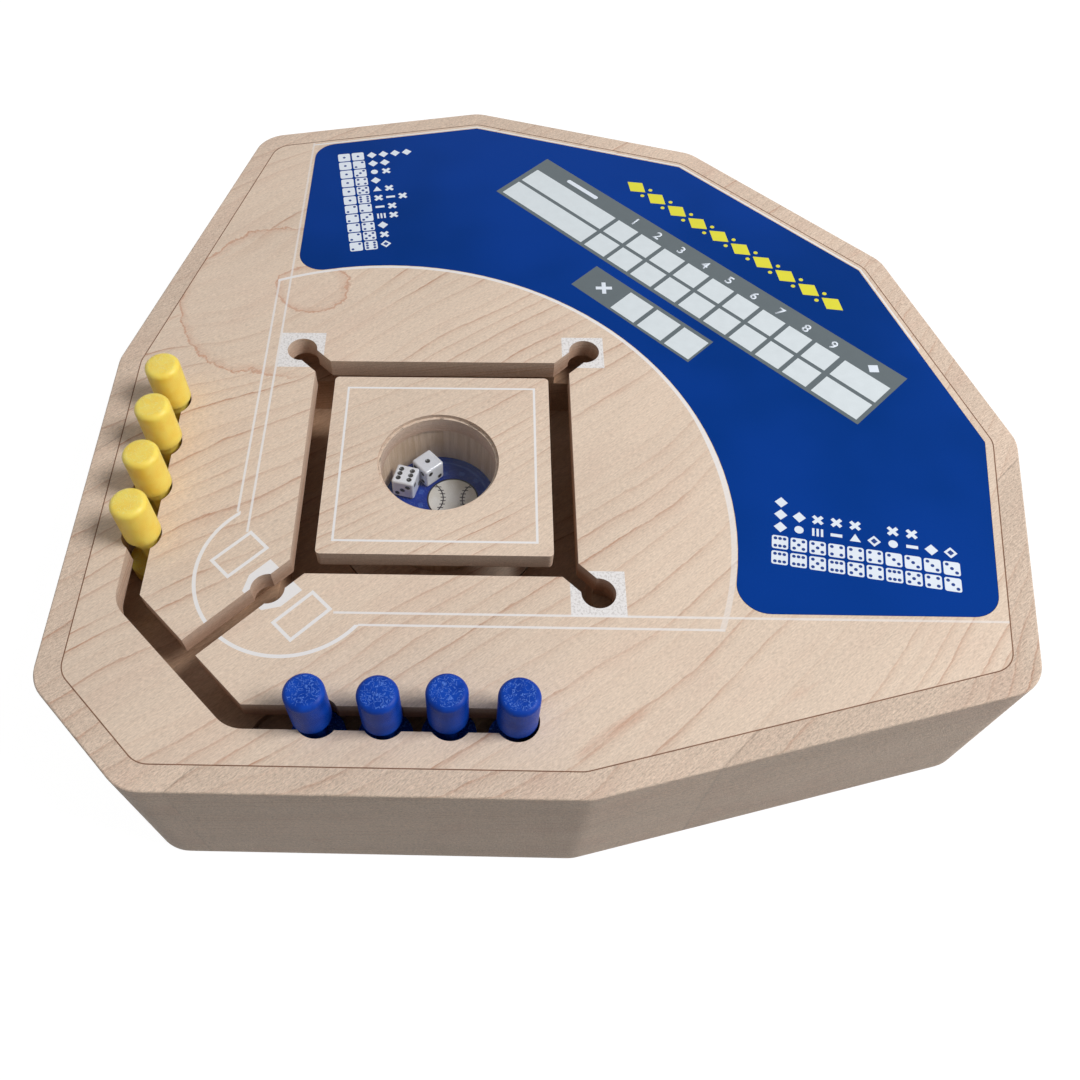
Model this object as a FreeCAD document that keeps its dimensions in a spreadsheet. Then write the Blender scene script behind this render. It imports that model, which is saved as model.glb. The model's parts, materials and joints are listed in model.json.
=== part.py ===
"""Pop up dice baseball board: a maple case with runner tracks, captive runner pegs and a sprung dice block.

Every sub-part is laid out from the middle of the diamond, with home plate towards -X -Y and centre field
towards +X +Y, and stands on the table at Z = 0. Each one is then moved by the same amount, so that the origin of
the finished part is the middle of its base. Lengths are in millimetres and angles in degrees.
"""

import FreeCAD, Part
import math
import os
import re

import Sketcher
from FreeCAD import Rotation, Vector

DOC = FreeCAD.newDocument("pop_up_dice_board")

# ---------------------------------------------------------------------------------------------- sizes

SIZES = [
    ("dugout_reach", 99.6, "diamond centre to the line of each dugout"),
    ("side_margin", 24.4, "line of each dugout to the straight side of the case beside it"),
    ("home_cut", 34.8, "how much is cut off the case behind home, along X and along Y"),
    ("foul_corner", 48.5, "where the straight sides meet the foul sides"),
    ("outfield_radius", 207.0, "diamond centre to the corners of the outfield"),
    ("outfield_step", 27.8, "angle between corners of the outfield"),
    ("corner_radius", 14.0, "rounding of the case's outer corners"),
    ("edge_break", 0.8, "small rounding of the case's outer edges"),
    ("rim_width", 8.5, "rim of the case around the playing board"),
    ("inset_radius", 9.0, "corner radius of everything let into the case"),
    ("ledge_width", 20.0, "case wall below the boards"),
    ("ledge_height", 9.5, "base panel to the boards"),
    ("board_fit", 0.15, "gap between the case and each board let into it"),
    ("top_thickness", 7.5, "playing board"),
    ("track_thickness", 26.0, "track board"),
    ("bearing_thickness", 12.0, "board that the press disc slides in"),
    ("base_thickness", 6.0, "base panel"),
    ("foot_stand", 1.0, "how far the rubber feet lift the case"),
    ("slot_width", 8.0, "gap round the press block and width of the dugout slots"),
    ("diagonal_width", 7.6, "slots from the ring to the bases"),
    ("press_side", 80.0, "press block, square"),
    ("press_corner", 1.6, "rounding of the press block's corners"),
    ("press_edge", 1.0, "rounding of the press block's lower edges"),
    ("press_travel", 5.0, "how far the press block goes down"),
    ("stop_gap", 0.3, "slack between the press disc and its stop"),
    ("base_offset", 6.1, "ring corner to each base pocket, along X and along Y"),
    ("dugout_first", 27.3, "the dugout pocket furthest from home"),
    ("dugout_pitch", 20.2, "spacing of the dugout pockets"),
    ("link_cut", 28.85, "how far the slot behind home cuts the dugouts' corner, along the diagonal"),
    ("bend_radius", 12.0, "outer rounding where the dugout slots turn"),
    ("channel_depth", 10.0, "depth of the foot channels in the track board"),
    ("dugout_step", 3.0, "how much deeper the channels are under the dugouts"),
    ("bay_run", 13.7, "how far the deep part runs past the pocket nearest home"),
    ("collar_grip", 1.0, "how much wider a peg's collar is than the slots"),
    ("collar_depth", 3.4, "how far a peg's collar reaches below the board surface"),
    ("dugout_play", 2.35, "gap round a collar in a dugout pocket"),
    ("base_play", 1.2, "gap round a collar in a base pocket"),
    ("neck_clear", 0.6, "gap on each side of a peg's neck in the narrowest slot"),
    ("head_lip", 1.8, "how far a peg's head stands out from its collar"),
    ("head_rise", 17.6, "board surface to the top of a peg"),
    ("head_hover", 0.8, "board surface to the underside of a peg's head"),
    ("head_round", 1.8, "rounding of a peg's top"),
    ("foot_grip", 3.9, "how much wider a peg's foot is than the dugout pockets"),
    ("foot_play", 1.6, "gap on each side of a foot in its channel"),
    ("foot_thickness", 6.0, "foot of a peg"),
    ("foot_bevel", 1.0, "bevel of a peg's foot"),
    ("foot_gap", 0.2, "gap between a peg's foot and the channel floor"),
    ("play_gap", 0.3, "least gap beside a resting peg, at its collar and at its foot"),
    ("panel_thickness", 0.8, "score panel"),
    ("panel_fit", 0.1, "gap round the score panel"),
    ("panel_margin", 11.5, "case side to the score panel"),
    ("panel_side", 61.0, "diamond centre to the score panel's straight ends"),
    ("panel_radius", 10.0, "rounding of the score panel's ends"),
    ("panel_soft", 0.5, "rounding of the score panel's outfield corners"),
    ("arc_offset", 22.9, "diamond centre to the centre of the infield arc, along X and along Y"),
    ("arc_radius", 125.0, "radius of the infield arc"),
    ("window_bore", 41.2, "bore of the press block under the window"),
    ("window_ledge", 1.0, "ledge that the window rests on"),
    ("window_drop", 1.4, "board surface to that ledge"),
    ("window_thickness", 1.2, "clear window"),
    ("window_fit", 0.1, "gap round the window"),
    ("cup_inner", 42.4, "inner diameter of the dice cup"),
    ("cup_wall", 4.0, "wall of the dice cup"),
    ("cup_depth", 23.5, "board surface to the floor of the dice cup"),
    ("card_thickness", 0.4, "printed floor card"),
    ("plug_fit", 0.1, "gap round the cup's floor plug"),
    ("disc_diameter", 80.0, "press disc where it passes the lip of its bore"),
    ("disc_gap", 0.5, "gap round the press disc"),
    ("disc_flange", 3.5, "how far the press disc's stop flange stands out"),
    ("flange_thickness", 5.0, "stop flange of the press disc"),
    ("lip_thickness", 4.0, "lip of the bearing board that stops the press disc"),
    ("guide_inset", 9.0, "edge of the press disc to the middle of each guide pin"),
    ("pin_diameter", 5.0, "guide pins"),
    ("pin_bury", 7.0, "length of each guide pin inside the press disc"),
    ("pin_slack", 0.7, "gap left at the ends of the guides when the block is down"),
    ("guide_fit", 0.05, "running gap round each guide pin"),
    ("guide_hole_depth", 3.5, "blind holes in the base panel under the pins"),
    ("guide_hole_clear", 0.2, "gap round each pin in its blind hole"),
    ("bushing_wall", 1.95, "wall of the guide bushings"),
    ("bushing_lip", 2.0, "how far the foot of a bushing stands out"),
    ("bushing_lip_thickness", 1.5, "foot of each guide bushing"),
    ("spring_diameter", 26.0, "return spring, middle of the wire"),
    ("spring_wire", 1.6, "wire of the return spring"),
    ("spring_turns", 4.0, "turns of the return spring"),
    ("spring_clear", 0.9, "gap round the spring in its seats"),
    ("spring_cap_depth", 4.0, "recess for the spring in the press disc"),
    ("spring_seat_depth", 2.0, "recess for the spring in the base panel"),
    ("spring_slack", 0.15, "gap at each end of the spring"),
    ("die_side", 8.6, "dice"),
    ("die_round", 0.9, "rounding of the dice"),
    ("die_lift", 0.2, "gap under the dice"),
    ("pip_ball", 2.8, "diameter of the ball that cuts each pip"),
    ("pip_depth", 0.36, "depth of each pip"),
    ("pip_pitch", 2.1, "spacing of the pips"),
    ("screw_shank", 3.5, "base screws"),
    ("screw_head", 7.0, "head of a base screw"),
    ("screw_head_depth", 2.2, "countersink of a base screw"),
    ("screw_cover", 1.5, "wood left above each base screw"),
    ("cross_length", 2.6, "cross in the head of a screw"),
    ("cross_width", 0.7, "each slot of the cross"),
    ("cross_depth", 1.0, "depth of the cross"),
    ("pad_diameter", 14.0, "rubber feet"),
    ("pad_recess", 1.5, "recess for the rubber feet"),
    ("pad_round", 0.6, "rounding of the rubber feet"),
    ("pad_fit", 0.1, "gap round the rubber feet"),
    ("pad_inset", 36.0, "edge of the case to each rubber foot, towards the diamond centre"),
]

SHEET = DOC.addObject("Spreadsheet::Sheet", "Sizes")
for row, (alias, value, meaning) in enumerate(SIZES, start=1):
    SHEET.set(f"A{row}", alias)
    SHEET.set(f"B{row}", str(value))
    SHEET.set(f"C{row}", meaning)
    SHEET.setAlias(f"B{row}", alias)
DOC.recompute()
ALIASES = {alias for alias, value, meaning in SIZES}


def rule(text):
    """An expression on the sheet: each size's name in text gets the sheet's name before it."""
    return re.sub(r"[a-z_]+", lambda word: "Sizes." + word[0] if word[0] in ALIASES else word[0], text)


def size(text):
    """The number that a rule gives."""
    return float(SHEET.evalExpression(rule(text)))


# levels, as rules: heights above the table of the surfaces that the boards share
CASE_BASE = "foot_stand"
BASE_TOP = "(foot_stand + base_thickness)"
BEARING_BASE = f"({BASE_TOP} + ledge_height)"
BEARING_TOP = f"({BEARING_BASE} + bearing_thickness)"
TRACK_TOP = f"({BEARING_TOP} + track_thickness)"
SURFACE = f"({TRACK_TOP} + top_thickness)"
CHANNEL_FLOOR = f"({TRACK_TOP} - channel_depth)"
DUGOUT_FLOOR = f"({CHANNEL_FLOOR} - dugout_step)"
CUP_FLOOR = f"({SURFACE} - cup_depth)"
CARD_BASE = f"({CUP_FLOOR} - card_thickness)"
FLANGE_TOP = f"({BEARING_TOP} - lip_thickness - stop_gap)"
DISC_BASE = f"({FLANGE_TOP} - flange_thickness)"
SPRING_CAP = f"({DISC_BASE} + spring_cap_depth)"
SPRING_SEAT = f"({BASE_TOP} - spring_seat_depth)"
GUIDE_HOLE_FLOOR = f"({BASE_TOP} - guide_hole_depth)"
PIN_BASE = f"({GUIDE_HOLE_FLOOR} + press_travel + pin_slack)"
BUSHING_TOP = f"({DISC_BASE} - press_travel - pin_slack)"
PEG_BASE = f"({DUGOUT_FLOOR} + foot_gap)"

# pegs and what they fit: the collar is wider than the slots, the foot is wider than the pockets
COLLAR = "(slot_width + collar_grip)"
NECK = "(diagonal_width - 2 * neck_clear)"
HEAD = f"({COLLAR} + 2 * head_lip)"
DUGOUT_POCKET = f"({COLLAR} + 2 * dugout_play)"
BASE_POCKET = f"({COLLAR} + 2 * base_play)"
FOOT = f"({DUGOUT_POCKET} + foot_grip)"
CHANNEL = f"({FOOT} + 2 * foot_play)"

# the plan of the board: the ring round the press block, the bases, the slot behind home and the case
RING_HALF = "(press_side / 2 + slot_width)"
RING_CHANNEL_HALF = f"({RING_HALF} - slot_width / 2 + {CHANNEL} / 2)"
BASE_REACH = f"({RING_HALF} + base_offset)"
LINK_REACH = "(dugout_reach * sqrt(2) - link_cut)"
TURN = f"(dugout_reach - {LINK_REACH} * sqrt(2))"
HOME_SIDE = "(dugout_reach + side_margin)"
HOME_CUT = f"({HOME_SIDE} - home_cut)"
CASE_HEIGHT = f"({SURFACE} - {CASE_BASE})"

# the furthest corner of the outfield along X, and the shift that centres the part on its base
TIP_ANGLE = "(45 - 1.5 * outfield_step)"
TIP = f"((outfield_radius - corner_radius / cos(outfield_step / 2)) * cos{TIP_ANGLE} + corner_radius)"
SHIFT = f"(({HOME_SIDE} - {TIP}) / 2)"

SCREW_LENGTH = "(base_thickness + ledge_height - screw_cover)"
HOME_ANGLE = 225  # direction of home from the diamond centre
WIRE_FLATS = 8  # the spring's wire is drawn with flats, to keep its faces few
THROUGH = 1.0  # how far a cutting tool runs past the face that it opens

# ---------------------------------------------------------------------------------------------- helpers


def bind(thing, **rules):
    """Ties properties of a document object to the sheet; x, y and z stand for its place."""
    paths = {"x": "Placement.Base.x", "y": "Placement.Base.y", "z": "Placement.Base.z"}
    for name, text in rules.items():
        thing.setExpression(paths.get(name, name), rule(str(text)))
    return thing


def new(kind, name):
    return DOC.addObject(kind, name)


def box(name, length, width, height, x, y, z):
    """A box whose middle is at x, y and whose underside is at z."""
    thing = new("Part::Box", name)
    bind(thing, Length=length, Width=width, Height=height)
    return bind(thing, x=f"{x} - ({length}) / 2", y=f"{y} - ({width}) / 2", z=z)


def beam(name, x, y, length, width, height, z, angle):
    """A box that runs from x, y in the direction of angle; z is its underside."""
    thing = new("Part::Box", name)
    bind(thing, Length=length, Width=width, Height=height)
    thing.Placement.Rotation = Rotation(Vector(0, 0, 1), angle)
    bind(thing, x=f"{x} + ({width}) / 2 * sin({angle})")
    return bind(thing, y=f"{y} - ({width}) / 2 * cos({angle})", z=z)


def spoke(name, end, width, height, z, angle):
    """A beam from the edge of the ring out to a distance from the diamond centre."""
    x = f"{RING_HALF} * cos({angle})"
    y = f"{RING_HALF} * sin({angle})"
    return beam(name, x, y, f"{end} - {RING_HALF}", width, height, z, angle)


def cylinder(name, diameter, height, x, y, z):
    thing = new("Part::Cylinder", name)
    bind(thing, Radius=f"({diameter}) / 2", Height=height)
    return bind(thing, x=x, y=y, z=z)


def polygon(name, corners, upright=False):
    """A closed sketch whose corners are pairs of rules; upright puts it in the XZ plane."""
    sketch = new("Sketcher::SketchObject", name)
    if upright:
        sketch.Placement.Rotation = Rotation(Vector(1, 0, 0), 90)
    points = [Vector(size(x), size(y), 0) for x, y in corners]
    count = len(points)
    for i in range(count):
        sketch.addGeometry(Part.LineSegment(points[i], points[(i + 1) % count]))
    for i in range(count):
        sketch.addConstraint(Sketcher.Constraint("Coincident", i, 2, (i + 1) % count, 1))
    for i, (x, y) in enumerate(corners):
        for kind, text, value in (("DistanceX", x, points[i].x), ("DistanceY", y, points[i].y)):
            index = sketch.addConstraint(Sketcher.Constraint(kind, -1, 1, i, 1, value))
            sketch.setExpression(f"Constraints[{index}]", rule(text))
    return sketch


def rounded(name, source, inset, radius):
    """A sketch moved inwards by inset, with its corners rounded."""
    core = new("Part::Offset2D", name + "_core")
    core.Source = source
    core.Join = "Intersection"
    bind(core, Value=f"-({inset}) - ({radius})")
    ring = new("Part::Offset2D", name + "_ring")
    ring.Source = core
    ring.Join = "Arc"
    return bind(ring, Value=radius)


def slab(name, profile, height, z):
    """A flat profile made into a plate with its underside at z."""
    thing = new("Part::Extrusion", name)
    thing.Base = profile
    thing.DirMode = "Custom"
    thing.Dir = Vector(0, 0, 1)
    thing.Solid = True
    thing.FaceMakerClass = "Part::FaceMakerBullseye"
    return bind(thing, LengthFwd=height, z=z)


def revolved(name, profile):
    """An upright profile turned about the Z axis."""
    thing = new("Part::Revolution", name)
    thing.Source = profile
    thing.Axis = Vector(0, 0, 1)
    thing.Angle = 360
    thing.Solid = True
    return thing


def fused(name, things):
    thing = new("Part::MultiFuse", name)
    thing.Shapes = things
    return thing


def cut(name, base, *tools):
    thing = new("Part::Cut", name)
    thing.Base = base
    thing.Tool = tools[0] if len(tools) == 1 else fused(name + "_tools", list(tools))
    return thing


def common(name, *things):
    thing = new("Part::MultiCommon", name)
    thing.Shapes = list(things)
    return thing


def group(name, things):
    """Identical pieces kept as separate solids of one node."""
    thing = new("Part::Compound", name)
    thing.Links = things
    return thing


def eased(name, base, radius, chosen):
    """Rounds the edges of base that chosen accepts."""
    DOC.recompute()
    amount = size(radius)
    thing = new("Part::Fillet", name)
    thing.Base = base
    thing.Edges = [
        (index, amount, amount) for index, edge in enumerate(base.Shape.Edges, start=1) if chosen(edge)
    ]
    return thing


def near(value, target, slack=0.01):
    return abs(value - target) < slack


def upright(edge):
    """True for an edge that runs straight up."""
    box_ = edge.BoundBox
    return near(box_.XLength, 0) and near(box_.YLength, 0) and box_.ZLength > 0


def level(edge, height):
    """True for an edge that lies flat at a height."""
    return near(edge.BoundBox.ZMin, height) and near(edge.BoundBox.ZMax, height)


NODES = []


def node(label, thing, moved=True):
    """Makes thing a sub-part: gives it its label and carries it from the diamond's frame to the part's."""
    thing.Label = label
    if moved:
        bind(thing, x=SHIFT, y=SHIFT)
    NODES.append(thing)
    return thing


# ---------------------------------------------------------------------------------------------- outlines


def case_corners():
    """The corners of the case, anticlockwise from the left end of the cut behind home."""
    corners = [
        (f"-{HOME_SIDE}", f"-{HOME_CUT}"),
        (f"-{HOME_CUT}", f"-{HOME_SIDE}"),
        ("foul_corner", f"-{HOME_SIDE}"),
    ]
    for k in (-2.5, -1.5, -0.5, 0.5, 1.5, 2.5):
        angle = f"(45 + {k} * outfield_step)"
        corners.append((f"outfield_radius * cos{angle}", f"outfield_radius * sin{angle}"))
    corners.append((f"-{HOME_SIDE}", "foul_corner"))
    return corners


OUTLINE = polygon("case_outline", case_corners())
INSET = rounded("inset", OUTLINE, "rim_width", "inset_radius")
BOARD = rounded("board", OUTLINE, "rim_width + board_fit", "inset_radius")


def board(name, thickness, z):
    """A plate that fills the case, inside its rim."""
    return slab(name, BOARD, thickness, z)


# ---------------------------------------------------------------------------------------------- the case


def case_frame():
    """The maple case: one thick block, let in from above for the boards and from below for the base panel."""
    blank = slab("frame_blank", rounded("frame", OUTLINE, "0", "corner_radius"), CASE_HEIGHT, CASE_BASE)
    top = size(SURFACE)
    bottom = size(CASE_BASE)
    soft = eased("frame_soft", blank, "edge_break", lambda edge: level(edge, top) or level(edge, bottom))
    boards = slab("frame_boards", INSET, f"{SURFACE} - {BEARING_BASE} + {THROUGH}", BEARING_BASE)
    hollow_ring = rounded("frame_hollow", OUTLINE, "ledge_width", "inset_radius")
    hollow = slab("frame_hollow", hollow_ring, f"{CASE_HEIGHT} + 2 * {THROUGH}", f"{CASE_BASE} - {THROUGH}")
    rabbet = slab("frame_rabbet", INSET, f"base_thickness + {THROUGH}", f"{CASE_BASE} - {THROUGH}")
    pilots = [
        cylinder(f"pilot_{i}", "screw_shank", SCREW_LENGTH, x, y, CASE_BASE)
        for i, (x, y) in enumerate(screw_places())
    ]
    return node("case_frame", cut("frame", soft, boards, hollow, rabbet, *pilots))


def dugout_slot(name, height, z):
    """The bent slot: an arm along each dugout and the link between them behind home."""
    outer = "(dugout_reach + slot_width / 2)"
    inner = "(dugout_reach - slot_width / 2)"
    turn_outer = f"({outer} - ({LINK_REACH} + slot_width / 2) * sqrt(2))"
    turn_inner = f"({inner} - ({LINK_REACH} - slot_width / 2) * sqrt(2))"
    corners = [
        (f"-{outer}", "dugout_first"),
        (f"-{outer}", turn_outer),
        (turn_outer, f"-{outer}"),
        ("dugout_first", f"-{outer}"),
        ("dugout_first", f"-{inner}"),
        (turn_inner, f"-{inner}"),
        (f"-{inner}", turn_inner),
        (f"-{inner}", "dugout_first"),
    ]
    plate = slab(name + "_plate", polygon(name + "_profile", corners), height, z)
    far = size(outer)
    turn = size(turn_outer)

    def outer_bend(edge):
        places = sorted((edge.BoundBox.XMin, edge.BoundBox.YMin))
        return upright(edge) and near(places[0], -far) and near(places[1], turn)

    return eased(name, plate, "bend_radius", outer_bend)


def pocket_places():
    """The eight dugout pockets: along the left side, then along the near side."""
    steps = [f"(dugout_first - {k} * dugout_pitch)" for k in range(4)]
    return [("-dugout_reach", step) for step in steps] + [(step, "-dugout_reach") for step in steps]


def base_places():
    """First, second, third and home."""
    return [(f"{x} * {BASE_REACH}", f"{y} * {BASE_REACH}") for x, y in ((1, -1), (1, 1), (-1, 1), (-1, -1))]


def slot_tools():
    """Everything that the pegs' necks pass through in the playing board."""
    height = f"top_thickness + 2 * {THROUGH}"
    z = f"{TRACK_TOP} - {THROUGH}"
    ring = box("ring_tool", f"2 * {RING_HALF}", f"2 * {RING_HALF}", height, "0", "0", z)
    tools = [ring, dugout_slot("dugout_tool", height, z)]
    for k, angle in enumerate((45, 135, 315)):
        tools.append(spoke(f"base_slot_{k}", f"{BASE_REACH} * sqrt(2)", "diagonal_width", height, z, angle))
    tools.append(spoke("home_slot", LINK_REACH, "diagonal_width", height, z, HOME_ANGLE))
    for k, (x, y) in enumerate(base_places()):
        tools.append(cylinder(f"base_pocket_{k}", BASE_POCKET, height, x, y, z))
    for k, (x, y) in enumerate(pocket_places()):
        tools.append(cylinder(f"dugout_pocket_{k}", DUGOUT_POCKET, height, x, y, z))
    return tools


def panel_plate(name, height, grow="0"):
    """The score panel's shape, grown on every side: the outfield outside the infield arc."""
    z = f"{SURFACE} - panel_thickness"
    edge_line = rounded(name + "_edge", OUTLINE, f"panel_margin - {grow}", f"panel_soft + {grow}")
    field = slab(name + "_field", edge_line, height, z)
    side = f"(panel_side + {grow})"
    span = f"({TIP} + {side})"
    middle = f"({TIP} - {side}) / 2"
    quarter = box(name + "_quarter", span, span, height, middle, middle, z)
    infield = cylinder(name + "_arc", f"2 * (arc_radius - {grow})", height, "-arc_offset", "-arc_offset", z)
    plate = cut(name + "_plate", common(name + "_span", field, quarter), infield)
    end = -size(side)

    def corner(edge):
        return upright(edge) and (near(edge.BoundBox.XMin, end) or near(edge.BoundBox.YMin, end))

    return eased(name, plate, "panel_radius", corner)


def top_board():
    """The playing board: one sheet with the ring, the base slots, the dugout slots and every pocket cut through."""
    sheet_ = board("top_sheet", "top_thickness", TRACK_TOP)
    recess = panel_plate("recess", f"panel_thickness + {THROUGH}", "panel_fit")
    return node("top_board", cut("top_cut", sheet_, *slot_tools(), recess))


def score_panel():
    """The blue score panel, flush in the playing board."""
    return node("score_panel", panel_plate("panel", "panel_thickness"))


def track_board():
    """The board under the playing board: channels for the pegs' feet round a square opening for the press block."""
    sheet_ = board("track_sheet", "track_thickness", BEARING_TOP)
    through = f"track_thickness + 2 * {THROUGH}"
    side = f"2 * {RING_CHANNEL_HALF}"
    tools = [box("ring_channel", side, side, through, "0", "0", f"{BEARING_TOP} - {THROUGH}")]
    shallow = f"channel_depth + {THROUGH}"
    for k, (x, y) in enumerate(base_places()):
        tools.append(cylinder(f"base_end_{k}", CHANNEL, shallow, x, y, CHANNEL_FLOOR))
    tools.append(spoke("home_channel", LINK_REACH, CHANNEL, shallow, CHANNEL_FLOOR, HOME_ANGLE))
    length = f"(dugout_reach + {TURN}) * sqrt(2)"
    tools.append(beam("link_channel", "-dugout_reach", TURN, length, CHANNEL, shallow, CHANNEL_FLOOR, -45))
    # under each dugout: a shallow run from the bend, then a deeper bay with round ends
    deep = f"channel_depth + dugout_step + {THROUGH}"
    last = "(dugout_first - 3 * dugout_pitch)"
    bay_end = f"({last} - bay_run)"
    for side, angle in (("left", 90), ("near", 0)):

        def spot(place, angle=angle):
            return ("-dugout_reach", place) if angle else (place, "-dugout_reach")

        approach = f"{last} - {TURN}"
        bay = f"dugout_first - {bay_end}"
        tools.append(cylinder(f"{side}_turn", CHANNEL, shallow, *spot(TURN), CHANNEL_FLOOR))
        tools.append(beam(f"{side}_run", *spot(TURN), approach, CHANNEL, shallow, CHANNEL_FLOOR, angle))
        tools.append(beam(f"{side}_bay", *spot(bay_end), bay, CHANNEL, deep, DUGOUT_FLOOR, angle))
        tools.append(cylinder(f"{side}_bay_start", CHANNEL, deep, *spot(bay_end), DUGOUT_FLOOR))
        tools.append(cylinder(f"{side}_bay_end", CHANNEL, deep, *spot("dugout_first"), DUGOUT_FLOOR))
    return node("track_board", cut("track_cut", sheet_, *tools))


def bearing_board():
    """The board that the press disc slides in; the lip at its top stops the disc."""
    sheet_ = board("bearing_sheet", "bearing_thickness", BEARING_TOP + " - bearing_thickness")
    narrow = "disc_diameter + 2 * disc_gap"
    wide = f"{narrow} + 2 * disc_flange"
    through = f"bearing_thickness + 2 * {THROUGH}"
    lip = cylinder("bearing_lip", narrow, through, "0", "0", f"{BEARING_BASE} - {THROUGH}")
    below = f"bearing_thickness - lip_thickness + {THROUGH}"
    bore = cylinder("bearing_bore", wide, below, "0", "0", f"{BEARING_BASE} - {THROUGH}")
    return node("bearing_board", cut("bearing_cut", sheet_, lip, bore))


def guide_places():
    reach = "(disc_diameter / 2 - guide_inset) * cos(45)"
    return [(f"{x} * {reach}", f"{y} * {reach}") for x in (1, -1) for y in (1, -1)]


def pad_places():
    """The rubber feet: two at the cut behind home, one at each foul pole and one in centre field."""
    points = [Vector(size(x), size(y), 0) for x, y in case_corners()]
    ends = [points[0], points[1], points[3], points[8], (points[5] + points[6]) * 0.5]
    places = []
    for end in ends:
        spot = end * (1 - size("pad_inset") / end.Length)
        places.append((f"{spot.x:.6f}", f"{spot.y:.6f}"))
    return places


def screw_places():
    """The middle of each side of the case, moved in over the middle of the ledge."""
    points = [Vector(size(x), size(y), 0) for x, y in case_corners()]
    inset = size("(rim_width + ledge_width) / 2")
    places = []
    for here, there in zip(points, points[1:] + points[:1]):
        along = (there - here).normalize()
        spot = (here + there) * 0.5 + Vector(-along.y, along.x, 0) * inset
        places.append((f"{spot.x:.6f}", f"{spot.y:.6f}"))
    return places


def base_panel():
    """The panel that closes the case: screw holes, recesses for the feet, and the seats of spring and guides."""
    sheet_ = slab("base_sheet", BOARD, "base_thickness", CASE_BASE)
    tools = []
    for i, (x, y) in enumerate(screw_places()):
        tools.append(screw_solid(f"hole_{i}", x, y))
    for i, (x, y) in enumerate(pad_places()):
        wide = "pad_diameter + 2 * pad_fit"
        tools.append(cylinder(f"pad_hole_{i}", wide, f"pad_recess + {THROUGH}", x, y, f"{CASE_BASE} - {THROUGH}"))
    for i, (x, y) in enumerate(guide_places()):
        wide = "pin_diameter + 2 * guide_hole_clear"
        deep = f"guide_hole_depth + {THROUGH}"
        tools.append(cylinder(f"guide_hole_{i}", wide, deep, x, y, GUIDE_HOLE_FLOOR))
    wide = "spring_diameter + spring_wire + 2 * spring_clear"
    tools.append(cylinder("spring_seat", wide, f"spring_seat_depth + {THROUGH}", "0", "0", SPRING_SEAT))
    return node("base_panel", cut("base_cut", sheet_, *tools))


def screw_solid(name, x, y):
    """A countersunk screw, head down, as one turned piece without its cross."""
    head = new("Part::Cone", name + "_head")
    bind(head, Radius1="screw_head / 2", Radius2="screw_shank / 2", Height="screw_head_depth")
    bind(head, x=x, y=y, z=CASE_BASE)
    shank = cylinder(name + "_shank", "screw_shank", SCREW_LENGTH, x, y, CASE_BASE)
    return fused(name, [head, shank])


def base_screws():
    """Ten countersunk cross-head screws."""
    screws = []
    for i, (x, y) in enumerate(screw_places()):
        across = ("cross_length", "cross_width")
        slots = []
        for k, (length, width) in enumerate((across, across[::-1])):
            deep = f"cross_depth + {THROUGH}"
            slots.append(box(f"cross_{i}_{k}", length, width, deep, x, y, f"{CASE_BASE} - {THROUGH}"))
        screws.append(cut(f"screw_{i}", screw_solid(f"screw_body_{i}", x, y), *slots))
    return node("base_screws", group("screw_group", screws))


def rubber_feet():
    """Five round pads set into the base panel."""
    pads = []
    for i, (x, y) in enumerate(pad_places()):
        pad = cylinder(f"pad_{i}", "pad_diameter", "foot_stand + pad_recess", x, y, "0")
        pads.append(eased(f"pad_soft_{i}", pad, "pad_round", lambda edge: level(edge, 0)))
    return node("rubber_feet", group("pad_group", pads))


# ---------------------------------------------------------------------------------------------- the press block


def press_block():
    """The square maple block: a bore for the dice and a rebate for the window."""
    plate = box("press_plate", "press_side", "press_side", "top_thickness", "0", "0", TRACK_TOP)
    square = eased("press_square", plate, "press_corner", upright)
    bottom = size(TRACK_TOP)
    soft = eased("press_soft", square, "press_edge", lambda edge: level(edge, bottom))
    through = f"top_thickness + 2 * {THROUGH}"
    bore = cylinder("press_bore", "window_bore", through, "0", "0", f"{TRACK_TOP} - {THROUGH}")
    wide = "window_bore + 2 * window_ledge"
    seat = cylinder("press_seat", wide, f"window_drop + {THROUGH}", "0", "0", f"{SURFACE} - window_drop")
    return node("press_block", cut("press_cut", soft, bore, seat))


def window_disc():
    """The clear window over the dice."""
    wide = "window_bore + 2 * window_ledge - 2 * window_fit"
    disc = cylinder("window", wide, "window_thickness", "0", "0", f"{SURFACE} - window_drop")
    return node("window_disc", disc)


def dice_cup():
    """The tube under the press block; its foot stands on the press disc."""
    height = f"{TRACK_TOP} - {BEARING_TOP}"
    outside = cylinder("cup_outside", "cup_inner + 2 * cup_wall", height, "0", "0", BEARING_TOP)
    inside = cylinder("cup_inside", "cup_inner", f"{height} + 2 * {THROUGH}", "0", "0", f"{BEARING_TOP} - {THROUGH}")
    return node("dice_cup", cut("cup_cut", outside, inside))


def cup_plug():
    """The round plug that makes the floor of the cup."""
    wide = "cup_inner - 2 * plug_fit"
    return node("cup_plug", cylinder("plug", wide, f"{CARD_BASE} - {BEARING_TOP}", "0", "0", BEARING_TOP))


def floor_card():
    """The printed card on the floor of the cup."""
    wide = "cup_inner - 2 * plug_fit"
    return node("floor_card", cylinder("card", wide, "card_thickness", "0", "0", CARD_BASE))


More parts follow.
